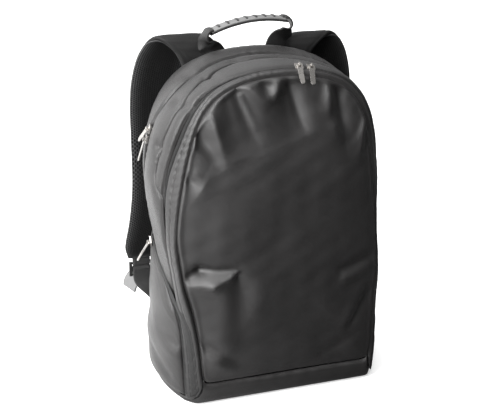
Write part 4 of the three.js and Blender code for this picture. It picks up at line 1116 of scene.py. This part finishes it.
def padded_back():
    piece = copy_of("back_panel", "back_panel_pad")
    piece.data.remesh_voxel_size = BACK_VOXEL * MM
    with bpy.context.temp_override(object=piece, active_object=piece, selected_objects=[piece]):
        bpy.ops.object.voxel_remesh()
    places = vertex_places(piece.data)
    still = places[:, 1] < (BACK_Y + 2.5) * MM
    grown = swell(piece, still, BACK_CAP)
    finer = piece.modifiers.new("finer", "SUBSURF")
    finer.levels = finer.render_levels = 1
    apply_modifier(piece, "finer")
    return piece, grown


back_pad, grown = padded_back()
print("back panel swelled by up to", round(grown, 1), "mm,", len(back_pad.data.polygons), "faces")

# %% [markdown]
# The cushion is then quilted: a channel down each side of the spine and two across press
# the foam in, as its sewing would. The channels come after the remesh, which would have
# blurred them.

# %% Quilting
CHANNELS = [((-38, 60), (-38, 400)), ((38, 60), (38, 400)), ((-120, 150), (120, 150)), ((-118, 290), (118, 290))]
CHANNEL_DEEP, CHANNEL_WIDE = 3.2, 5


def quilt(piece):
    places = vertex_places(piece.data) / MM
    depth = np.zeros(len(places))
    for start, end in CHANNELS:
        start, run = np.array(start, float), np.subtract(end, start).astype(float)
        t = np.clip((places[:, ::2] - start) @ run / (run @ run), 0, 1)
        away = np.linalg.norm(places[:, ::2] - start - t[:, None] * run, axis=1)
        depth = np.maximum(depth, CHANNEL_DEEP * np.exp(-((away / CHANNEL_WIDE) ** 2)))
    behind = np.clip((places[:, 1] - BACK_Y - 3) / 5, 0, 1)
    places[:, 1] -= depth * behind
    piece.data.vertices.foreach_set("co", (places * MM).astype(np.float32).ravel())
    mesh = piece.data
    corners = np.empty(len(mesh.loops), np.int32)
    mesh.loops.foreach_get("vertex_index", corners)
    layer = mesh.uv_layers.new(name="cloth")
    layer.data.foreach_set("uv", (places[:, ::2] * MM)[corners].astype(np.float32).ravel())
    mesh.shade_smooth()
    return piece


keep(quilt(back_pad), air_mesh, "air_mesh", "back_panel")
print("back panel quilted with", len(CHANNELS), "channels")

# %% [markdown]
# ## Shoulder straps
#
# A strap is a flat pad of foam, 8 mm thick, in cloth above and air mesh below, with a
# binding round its edge. It leaves the back panel, bends over at the top and hangs
# behind the bag. Flat straps are swept directly: a cloth simulation would need a mesh
# finer than the pad is thick.

# %% Straps
PAD_FACE = BACK_Y + SEAM_GAP + 4
STRAP_SWAY, STRAP_SAG, STRAP_PAD, STRAP_EDGE = 8, 8, 8, 5
STRAP_PATH = [  # across as a share of half width, behind the pad, up as a share of height, half width
    (0.352, 6.4, 0.8747, 31), (0.358, 9.3, 0.9275, 31.5), (0.403, 12, 0.967, 32.5), (0.478, 15.4, 0.9967, 33),
    (0.541, 19.8, 1.0132, 33.5), (0.585, 25.5, 1.0176, 33.5), (0.642, 31.2, 1.0088, 33.5),
    (0.692, 33.7, 0.9868, 34), (0.742, 36.2, 0.9516, 34), (0.789, 36.7, 0.8835, 34), (0.802, 36.2, 0.8088, 34),
    (0.799, 34.7, 0.7143, 33.5), (0.805, 31.7, 0.5495, 32), (0.849, 26.7, 0.4462, 30),
    (0.912, 22.7, 0.3692, 26), (0.925, 20.7, 0.3341, 19),
]
strap_rows = [(x * HALF_WIDTH, PAD_FACE + y, z * HEIGHT) for x, y, z, _ in STRAP_PATH]
STRAP_LENGTH, STRAP_WIDE = 560, 66


def even_table(values):
    """A smooth curve through values at even steps from 0 to 1."""
    return table_curve([(i / (len(values) - 1), value) for i, value in enumerate(values)], 0, 1)


strap_half = even_table([row[3] for row in STRAP_PATH])


def path_of(rows, mirror, sideways=0, sag=0):
    swing = np.sin(math.pi * np.arange(len(rows)) / (len(rows) - 1))
    places = np.array(rows, float) * (mirror, 1, 1)
    places[:, 0] += sideways * swing
    places[:, 2] -= sag * swing
    return Spline(places)


def strap_face(curve, mirror, distance):
    """A lengthwise surface of a strap: distance is measured out from its middle layer."""
    def at(a, b):
        along = curve.tangent(a)
        out = unit(np.stack([0 * a, -along[..., 2], along[..., 1]], -1))
        place = curve(a)
        place[..., 0] = place[..., 0] + mirror * (2 * b - 1) * strap_half(a)
        return place + out * distance(a, b)[..., None]
    return at


def strap_bulge(b):
    return lerp(STRAP_EDGE, STRAP_PAD, 1 - np.abs(2 * b - 1) ** 4) / 2


def strap_cloth(a, b):
    edge = np.minimum(b, 1 - b) * STRAP_WIDE
    rim = -1.2 * np.exp(-((edge / 1.5) ** 2)) - 0.7 * np.exp(-(((edge - 7) / 1.1) ** 2))
    return strap_bulge(b) + rim + 0.35 * ripples(a * STRAP_LENGTH, b * STRAP_WIDE, 67, 45) * (1 - np.exp(-edge / 6))


for side, mirror in (("right", 1), ("left", -1)):
    curve = path_of(strap_rows, mirror, STRAP_SWAY, STRAP_SAG if mirror > 0 else 0)
    pad = slab(f"strap_pad_{side}", strap_face(curve, mirror, strap_cloth),
               strap_face(curve, mirror, lambda a, b: -strap_bulge(b) + 0.2), 150, 26, (STRAP_LENGTH, STRAP_WIDE))
    keep(soften(pad, 1.2, 3), strap_satin, "cloth", f"strap_{side}")
    lining = slab(f"strap_air_mesh_{side}", strap_face(curve, mirror, lambda a, b: -strap_bulge(b) - 0.5),
                  strap_face(curve, mirror, lambda a, b: -strap_bulge(b) - 1.7), 150, 16, (STRAP_LENGTH, STRAP_WIDE))
    keep(soften(lining, 0.5), air_mesh, "air_mesh", f"strap_mesh_{side}")
    print(pad.name, len(pad.data.polygons), "faces")

# %% [markdown]
# ## Strap feet
#
# Under each strap a loop of webbing holds a ladder lock, and the adjusting webbing runs
# from the back panel round the lock's middle bar to a tail. A pale grey sheet on the tail is a
# painted sheen: the glint of its black webbing in the light from the left. A band of webbing
# follows a path, and its width turns where the band twists.

# %% Bands along a path
LOCK_DROP, LOCK_BAR, WEB_HALF, WEB_THICK, TAB_HALF = 9, 1.6, 12.5, 1.4, 12
foot = np.array(strap_rows[-1])
lock_place = foot - (0, 0, LOCK_DROP)
WEB_PATH = [  # out, behind, down from the lock's top bar, and the turn of the width in degrees
    (-31, 3.1, 61, 0), (-25, 4.2, 51, 0), (-13, 9.7, 38, 0), (-1, 16.2, 25, 0), (0, 18, 15, 0), (0, 18, 9, 0),
    (0, 18.8, 7.1, 0), (0, 20.7, 5.2, 0), (0, 22.6, 7.1, 0), (0, 23.4, 9, 0), (0, 24.3, 14, 0), (2, 27.7, 21, 14),
    (7, 31.2, 27.5, 38), (12, 32.9, 35, 56), (14.5, 33.3, 45, 62),
]
WEB_STEPS, TAIL_STEPS, TAIL_FACE = 26, 6, 1.6


def band_along(curve, half, turn, mirror):
    """Surfaces of a flat band: a runs along the path and b across it."""
    def surface(start, end, distance):
        def at(a, b):
            t = lerp(start, end, a)
            along, angle = curve.tangent(t), np.radians(turn(t))
            wide = np.stack([mirror * np.cos(angle), np.sin(angle), 0 * angle], -1)
            wide = unit(wide - along * np.sum(wide * along, -1, keepdims=True))
            out = unit(np.cross(along, wide) * mirror)
            rise = distance(b) if callable(distance) else distance + 0 * b
            return curve(t) + wide * ((2 * b - 1) * half(t))[..., None] + out * rise[..., None]
        return at
    return surface


def web_rib(thick):
    """Webbing has a rounded selvedge."""
    return lambda b: thick * (1 - 0.35 * np.abs(2 * b - 1) ** 6)


web_turn = even_table([row[3] for row in WEB_PATH])
for side, mirror in (("right", 1), ("left", -1)):
    lock = copy_of(f"ladder_lock_{side}", f"ladder_lock_plastic_{side}")
    keep(soften(lock, 0.5, 3), plastic, "plastic", f"ladder_lock_{side}")
    web_rows = [(lock_place[0] + out, PAD_FACE + behind, lock_place[2] - down) for out, behind, down, _ in WEB_PATH]
    band_of = band_along(path_of(web_rows, mirror), lambda t: WEB_HALF + 0 * t, web_turn, mirror)
    web = slab(f"webbing_band_{side}", band_of(0, 1, web_rib(WEB_THICK / 2)), band_of(0, 1, web_rib(-WEB_THICK / 2)),
               140, 12, (150, 25))
    keep(web, webbing, "webbing", f"webbing_{side}")
    # painted sheen: a pale grey sheet in the grip's rubber finish lies on the tail for the glint of its black webbing
    tail_start, sheen_sheet_base = 1 - TAIL_STEPS / WEB_STEPS, WEB_THICK / 2 + SEAM_GAP
    tail = slab(f"tail_painted_sheen_{side}", band_of(tail_start, 1, sheen_sheet_base + TAIL_FACE), band_of(tail_start, 1, sheen_sheet_base),
                50, 12, (36, 25))
    keep(soften(tail, 0.6, 3), rubber, "grip_rubber", f"tail_face_{side}")
    radius = LOCK_BAR + 0.4 + WEB_THICK / 2
    loop = [(lock_place[0], lock_place[1] + radius * math.sin(a), lock_place[2] - radius * math.cos(a))
            for a in map(math.radians, (-90, -60, 0, 60, 90))]
    loop[2] = (*loop[2][:2], loop[2][2] - 1.4)
    rows = [(*loop[0][:2], foot[2] - 1), *loop, (*loop[-1][:2], foot[2] - 1)]
    tab_of = band_along(path_of(rows, mirror), lambda t: TAB_HALF + 0 * t, lambda t: 0 * t, mirror)
    tab = slab(f"strap_tab_web_{side}", tab_of(0, 1, WEB_THICK / 2), tab_of(0, 1, -WEB_THICK / 2), 60, 10, (40, 24))
    keep(tab, webbing, "webbing", f"strap_tab_{side}")
print("strap feet done")

# %% [markdown]
# ## The carrying handle
#
# The grip is a pale rubber arch with nine black ribs, on black webbing whose ends fold
# down over it and are sewn into the rear seam. It stands a little higher on the right.

# %% Handle
GRIP_HALF, GRIP_RISE, GRIP_BEHIND, GRIP_TILT, GRIP_ARCH = 55, 23, -1.3, 6, 9
GRIP_DEEP, GRIP_THICK, UNDER_DEEP, UNDER_THICK = 19, 3.4, 17.5, 2.4
GRIP_END = 0.94  # share of the arch that the rubber covers
RIBS, RIB_PITCH, RIB_MIDDLE, RIB_WIDE, RIB_DEEP, RIB_THICK = 9, 12.6, -3, 2.6, 14, 1
HANDLE_TAB = [  # outward from the grip's end, behind, down, half width, turn
    (-5, -1.3, -4.6, 9.5, 90), (0.6, -1.3, -3.4, 10.5, 90), (4.5, -1.3, 2.5, 11, 88),
    (5.5, -0.8, 10, 12, 68), (1, 0, 17, 13.5, 18), (-8, 2.3, 24, 13, 3), (-14, 3.3, 33, 13, 0), (-16, 3.2, 52, 13, 0),
]


def grip_place(s):
    return np.stack([GRIP_HALF * s, PAD_FACE + GRIP_BEHIND + 0 * s,
                     HEIGHT + GRIP_RISE + GRIP_TILT * s + GRIP_ARCH * (1 - s * s)], -1)


def grip_piece(name, ends, deep, low, high, cols, rows):
    def face(distance):
        def at(a, b):
            s = lerp(*ends, a)
            slope = unit(np.stack([GRIP_HALF + 0 * s, 0 * s, GRIP_TILT - 2 * GRIP_ARCH * s], -1))
            up = np.stack([-slope[..., 2], 0 * s, slope[..., 0]], -1)
            curve = 1 - 0.25 * (2 * b - 1) ** 2 if distance > 0 else 1 + 0 * b
            place = grip_place(s) + up * (distance * curve)[..., None]
            place[..., 1] += (b - 0.5) * deep
            return place
        return at
    return slab(name, face(high), face(low), cols, rows, (GRIP_HALF * (ends[1] - ends[0]), deep))


grip = grip_piece("handle_rubber", (-GRIP_END, GRIP_END), GRIP_DEEP, 0, GRIP_THICK, 60, 16)
keep(soften(grip, 1.1, 3), rubber, "grip_rubber", "handle_grip")
under = grip_piece("handle_under", (-1, 1), UNDER_DEEP, -SEAM_GAP - UNDER_THICK, -SEAM_GAP, 60, 12)
keep(soften(under, 0.7, 3), webbing, "webbing", "handle_webbing")
for i in range(RIBS):
    at, half = (RIB_MIDDLE + RIB_PITCH * (i - (RIBS - 1) / 2)) / GRIP_HALF, RIB_WIDE / 2 / GRIP_HALF
    low = GRIP_THICK + 0.1
    rib = grip_piece(f"handle_rib_rubber_{i + 1}", (at - half, at + half), RIB_DEEP, low, low + RIB_THICK + 0.5,
                     6, 14)
    keep(soften(rib, 0.5, 3), plastic, "webbing", f"handle_rib_{i + 1}")
tab_half, tab_turn = (even_table([row[k] for row in HANDLE_TAB]) for k in (3, 4))
for side, mirror in (("right", 1), ("left", -1)):
    end = grip_place(np.array(float(mirror)))
    rows = [(GRIP_HALF + x, PAD_FACE + behind, end[2] - down) for x, behind, down, _, _ in HANDLE_TAB]
    tab_of = band_along(path_of(rows, mirror), tab_half, tab_turn, mirror)
    cup = lambda sign: lambda b: sign * 1.2 + 0.8 * (1 - (2 * b - 1) ** 2)
    tab = slab(f"handle_tab_cloth_{side}", tab_of(0, 1, cup(1)), tab_of(0, 1, cup(-1)), 90, 20, (75, 26))
    keep(soften(tab, 0.6, 3), binding, "webbing", f"handle_tab_{side}")
print("handle done")

# %% [markdown]
# ## Sliders and pulls
#
# The metal is small and bright, so it wants rounded edges that catch the light. We take
# each solid, merge its triangles and bevel it. Each pull rides on its own body.

# %% Metal
PULLS = ("front_1", "front_2", "main_1", "main_2", "pocket_left", "pocket_right")
for name in PULLS:
    keep(soften(copy_of(f"slider_{name}", f"slider_metal_{name}"), 0.35, 3), nickel, "hardware", f"slider_{name}")
    keep(soften(copy_of(f"pull_{name}", f"pull_metal_{name}"), 0.3, 3), nickel, "hardware", f"pull_{name}",
         body=f"pull_{name}")
print(len(PULLS), "sliders with pulls")

# %% [markdown]
# ## Stitches
#
# The front band shows its thread along its middle. The same row tree lays the stitches,
# long side along the seam.

# %% Stitches
STITCH_DEPTH = 0.36  # share of the way from the zip to the front seam


def seam_stitches(name, lines):
    return keep(row_of_bars(name, lines, thread, pitch=3.4, long=2.4, wide=0.55, high=0.5), thread, "cloth")


u = np.linspace(BASE_SEAM + 0.002, 1 - BASE_SEAM - 0.002, 700)
depth = lerp(front_zip(u) + zip_edge(u), FRONT_EDGE, STITCH_DEPTH)
points, along, _, normal = skin_line(u, depth, 1.35 + 0 * u)
band_stitches = seam_stitches("front_band_stitches", [(points, along, normal)])
print(band_stitches.name, len(band_stitches.data.polygons), "faces")

# %% [markdown]
# ## Floor and light
#
# The bag stands on a pale floor. Satin shows what it mirrors, so the surroundings matter
# more than the lamps: they're bright to the left, above and behind, and dim in front. A
# studio hangs black cards for this. Here the floor and the surroundings are graded for
# every ray except those of the camera, which sees plain white.

# %% Floor and light
BRIGHT_SIDE = Vector((-0.92, 0.2, 0.3)).normalized()


def graded(tree, direction, toward, low, high, dim, bright):
    """Blends from dim to bright with how far a direction points to one side."""
    turned = put(tree, "ShaderNodeVectorMath", {0: direction, 1: tuple(toward)}, operation="DOT_PRODUCT")
    blend = put(tree, "ShaderNodeMapRange", {0: turned.outputs["Value"], 1: low, 2: high, 3: dim, 4: bright},
                interpolation_type="SMOOTHSTEP")
    camera_ray = put(tree, "ShaderNodeLightPath").outputs["Is Camera Ray"]
    return blend.outputs[0], camera_ray


def make_floor():
    bpy.ops.mesh.primitive_grid_add(x_subdivisions=4, y_subdivisions=4, size=12, location=(0, 0, 0))
    floor = bpy.context.object
    floor.name = "floor"
    finish, tree, shader = start_material("pale floor", (0.9, 0.9, 0.9), 0.9, Specular_IOR_Level=0.0)
    place = put(tree, "ShaderNodeTexCoord").outputs["Object"]
    tone, camera_ray = graded(tree, place, (-0.9, 0.44, 0), -0.2, 0.4, 0.06, 0.9)
    shade = math_of(tree, "MAXIMUM", tone, math_of(tree, "MULTIPLY", camera_ray, 0.9))
    tree.links.new(put(tree, "ShaderNodeCombineColor", {0: shade, 1: shade, 2: shade}).outputs[0],
                   shader.inputs["Base Color"])
    shader.inputs["Emission Color"].default_value = (1, 1, 1, 1)
    tree.links.new(math_of(tree, "MULTIPLY", camera_ray, 0.45), shader.inputs["Emission Strength"])
    floor.data.materials.append(finish)


def soft_lamp(name, place, aim, size, power):
    lamp = bpy.data.lights.new(name, "AREA")
    lamp.shape, lamp.size, lamp.size_y, lamp.energy = "RECTANGLE", *size, power
    made = bpy.data.objects.new(name, lamp)
    made.location = place
    made.rotation_euler = (Vector(aim) - Vector(place)).to_track_quat("-Z", "Y").to_euler()
    bpy.context.scene.collection.objects.link(made)


def surroundings(dim, bright):
    world = bpy.data.worlds.new("studio")
    world.use_nodes = True
    tree = world.node_tree
    direction = put(tree, "ShaderNodeTexCoord").outputs["Generated"]
    light, camera_ray = graded(tree, direction, BRIGHT_SIDE, -0.35, 0.95, dim, bright)
    unseen = math_of(tree, "SUBTRACT", 1.0, camera_ray)
    seen = math_of(tree, "MAXIMUM", math_of(tree, "MULTIPLY", light, unseen), camera_ray)
    tree.links.new(seen, tree.nodes["Background"].inputs["Strength"])
    tree.nodes["Background"].inputs["Color"].default_value = (1, 1, 1, 1)
    bpy.context.scene.world = world


make_floor()
soft_lamp("left lamp", (-1.25, -0.75, 0.95), (0, 0, 0.25), (0.6, 0.9), 34)
soft_lamp("top lamp", (-0.3, -0.2, 1.6), (0, 0, 0.3), (0.9, 0.6), 8)
surroundings(0.2, 3.0)
bpy.context.scene.view_settings.view_transform = "Standard"
print("lit")
